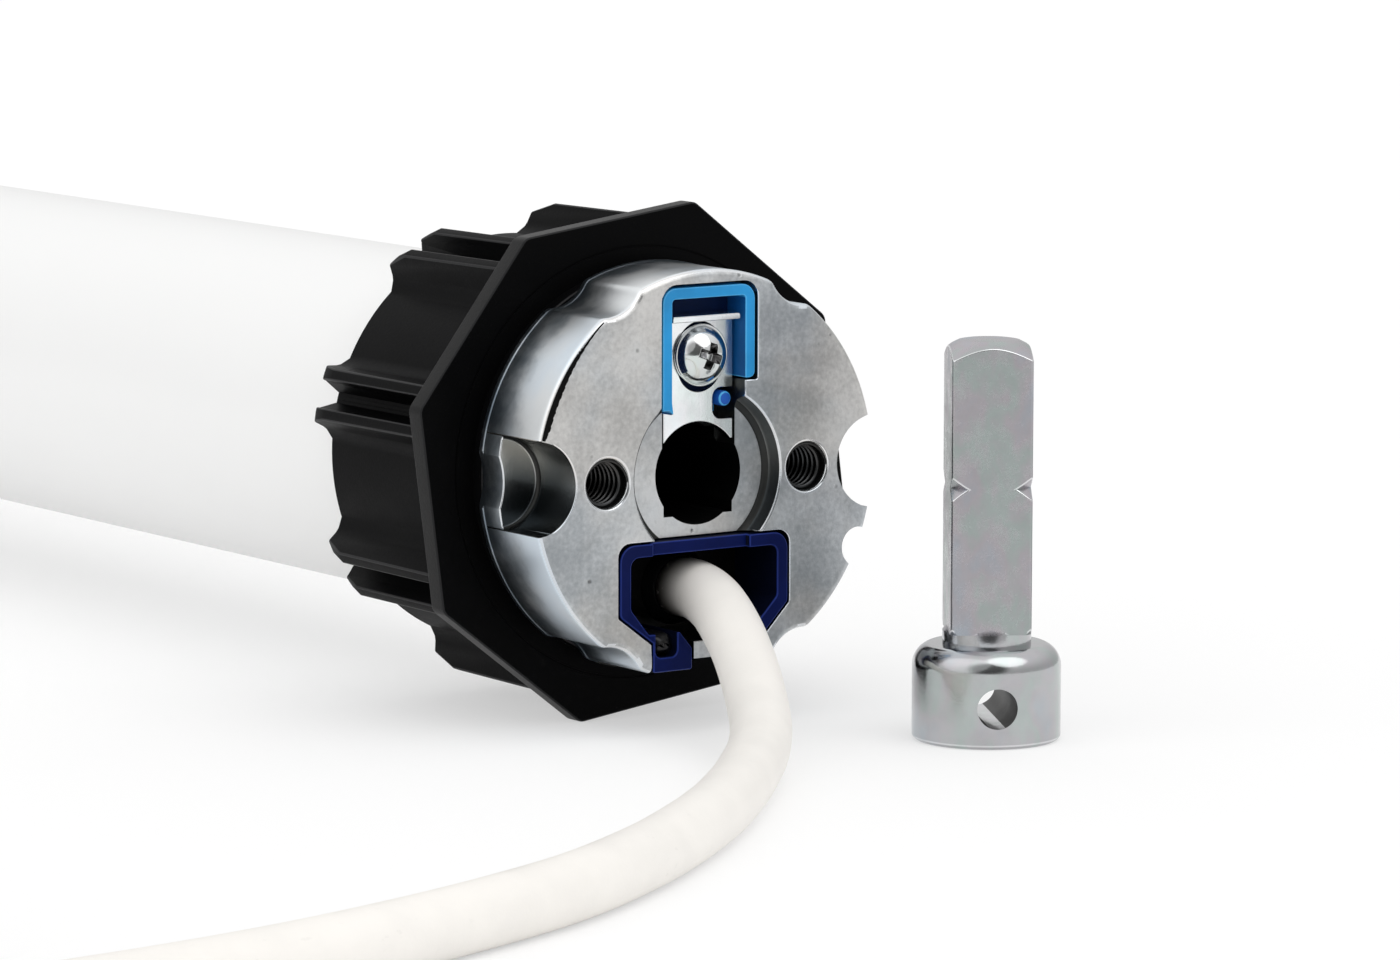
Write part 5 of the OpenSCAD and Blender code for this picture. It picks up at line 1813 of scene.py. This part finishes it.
    def build(self) -> None:
        """Makes the tube and everything at its far end."""
        self.tube()
        self.cap()
        self.wheel()
        self.wheel_screw()


class StudZone(IntEnum):
    """Finishes of the stud, in the order in which its piece takes them."""

    SHAFT = 0
    # The cross hole's walls: painted shade.
    HOLE = 1
    TURNED = 2
    # The cross hole's floor: painted light.
    HOLE_FLOOR = 3


@dataclass
class Stud:
    """The loose square stud with its turned groove, round base and cross hole."""

    place: Point = (26.5, -22.0)
    turn: float = -28.5
    width: float = 10.0
    height: float = 36.0
    base_r: float = 9.2
    base_h: float = 12.0
    neck_h: float = 1.6
    hole_r: float = 2.5
    hole_z: float = 5.1
    shoulder_r: float = 2.9
    ring_r: float = 7.2
    twist: float = -2.5

    def shaft(self, low: float, top: float) -> Solid:
        """The square shaft from low to top, with a turned cone on top and a notch at each corner.

        Args:
            low: where it starts.
            top: where it ends.

        Returns:
            The solid, standing along Y.
        """
        half, notch = self.width / 2, (low + top) / 2
        corners = [(-half, -half, 0.4), (half, -half, 0.4), (half, half, 0.4), (-half, half, 0.4)]
        turned = [(0, low - EPS), (half * 1.3, low - EPS), (half * 1.5, low + 1.5), (half * 1.5, top - 2.6)]
        turned += [(half * 0.92, top - 0.5), (half * 0.76, top - 0.1), (half * 0.64, top), (0, top + EPS)]
        groove = [(half * 1.15, notch), (half * 1.6, notch - 2.6), (half * 1.6, notch + 2.6)]
        square = Solid.prism(rounded(corners, 4), low - EPS, top + EPS).turned(Axis.Y, self.twist)
        return square.within(Solid.lathe(turned, 128)).cut(Solid.lathe(groove, 128, closed=True))

    def base(self, low: float) -> Solid:
        """The round base with its quarter-round shoulder, and the neck under the shaft.

        Args:
            low: where the shaft starts.

        Returns:
            The solid, standing along Y.
        """
        neck, out, round_r = self.width / 2 + 0.5, self.base_r, self.shoulder_r
        last = math.acos(1 - (out - self.ring_r) / round_r)
        arc = [last * k / 9 for k in range(10)]
        start = self.base_h - round_r * math.sin(last)
        shoulder = [(out - round_r * (1 - math.cos(t)), start + round_r * math.sin(t)) for t in arc]
        profile = [(0, 0), (out - 0.5, 0), (out, 0.5), *shoulder, (neck, self.base_h), (neck, low)]
        return Solid.lathe([*profile, (neck - 0.6, low + 0.8), (0, low + 0.8)], 128)

    def rounds(self, height: float, low: float, top: float) -> bool:
        """Whether edges at this height are rounded: on the base, and on the shaft from low to top."""
        return height < self.base_h + 0.1 or low + 0.3 < height < top - 0.3

    def inside(self, centre: Vector, floor: float) -> bool:
        """Whether a point is in the cross hole or at its mouth.

        Args:
            centre: the point.
            floor: height of the floor.

        Returns:
            True where it is.
        """
        turn = math.radians(self.turn)
        off = (centre.x - self.place[0]) * math.cos(turn) + (centre.y - self.place[1]) * math.sin(turn)
        return math.hypot(off, centre.z - floor - self.hole_z) < self.hole_r + 0.05

    def surface(self, centre: Vector, normal: Vector, floor: float) -> StudZone:
        """Finish of a face.

        Args:
            centre: middle of the face.
            normal: its direction.
            floor: height of the floor.

        Returns:
            The zone that it is finished as.
        """
        turn = math.radians(self.turn)
        along = normal.y * math.cos(turn) - normal.x * math.sin(turn)
        # Cross hole: its walls take painted shade, its floor painted light.
        if self.inside(centre, floor) and abs(along) < 0.3:
            return StudZone.HOLE_FLOOR if normal.z > 0.9 else StudZone.HOLE
        turned = centre.z < floor + self.base_h + self.neck_h
        return StudZone.TURNED if turned else StudZone.SHAFT

    def build(self, floor: float) -> None:
        """Makes the stud, standing on the floor.

        Args:
            floor: height of the floor in millimetres.
        """
        low = self.base_h + self.neck_h
        top = low + self.height
        hole = Solid.bar(self.hole_r, -12, 12, steps=48).turned(Axis.X, 90).moved(0, self.hole_z, 0)
        stud = self.base(low).join(self.shaft(low, top)).cut(hole)
        stud = stud.turned(Axis.X, 90).turned(Axis.Z, self.turn).moved(*self.place, floor)
        made = stud.piece(
            "square_stud", CHROMATE, 0.13, CHROMATE_EDGE_AND_LIT_HOLE,
            lambda centre, normal: self.surface(centre, normal, floor),
            (ZINC_SHADE, CHROMATE_TURNED, CHROMATE_EDGE_AND_LIT_HOLE),
            lambda middle: not self.inside(middle, floor) and self.rounds(middle.z - floor, low, top),
        )
        fit(made, Body.STUD, "zinc_plate", "mounting_stud")


def dress_frame_nodes() -> None:
    """Gives every CAD node that still shows, outside or inside, the finish of its slot."""
    for name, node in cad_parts.items():
        for entry in node.material_slots:
            slot = entry.material.name.split(".")[0] if entry.material else ""
            finish = SLOT_FINISHES.get(slot, GREY_PLASTIC)
            entry.material = material_of(finish)
            LOG.info("%s is finished as %s", name, finish.name)


def main() -> None:
    """Builds the studio, the cable and then each piece of the motor."""
    logging.basicConfig(level=logging.INFO, format="%(message)s")
    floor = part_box("mounting_stud")[0].z
    studio = Studio()
    studio.camera()
    Cable().build()
    studio.floor(floor)
    studio.light()
    Head().build()
    Release().build()
    Outlet().build()
    Crown().build()
    TubeAndDrive().build()
    Stud().build(floor / MM)
    dress_frame_nodes()


if __name__ == "__main__":
    main()
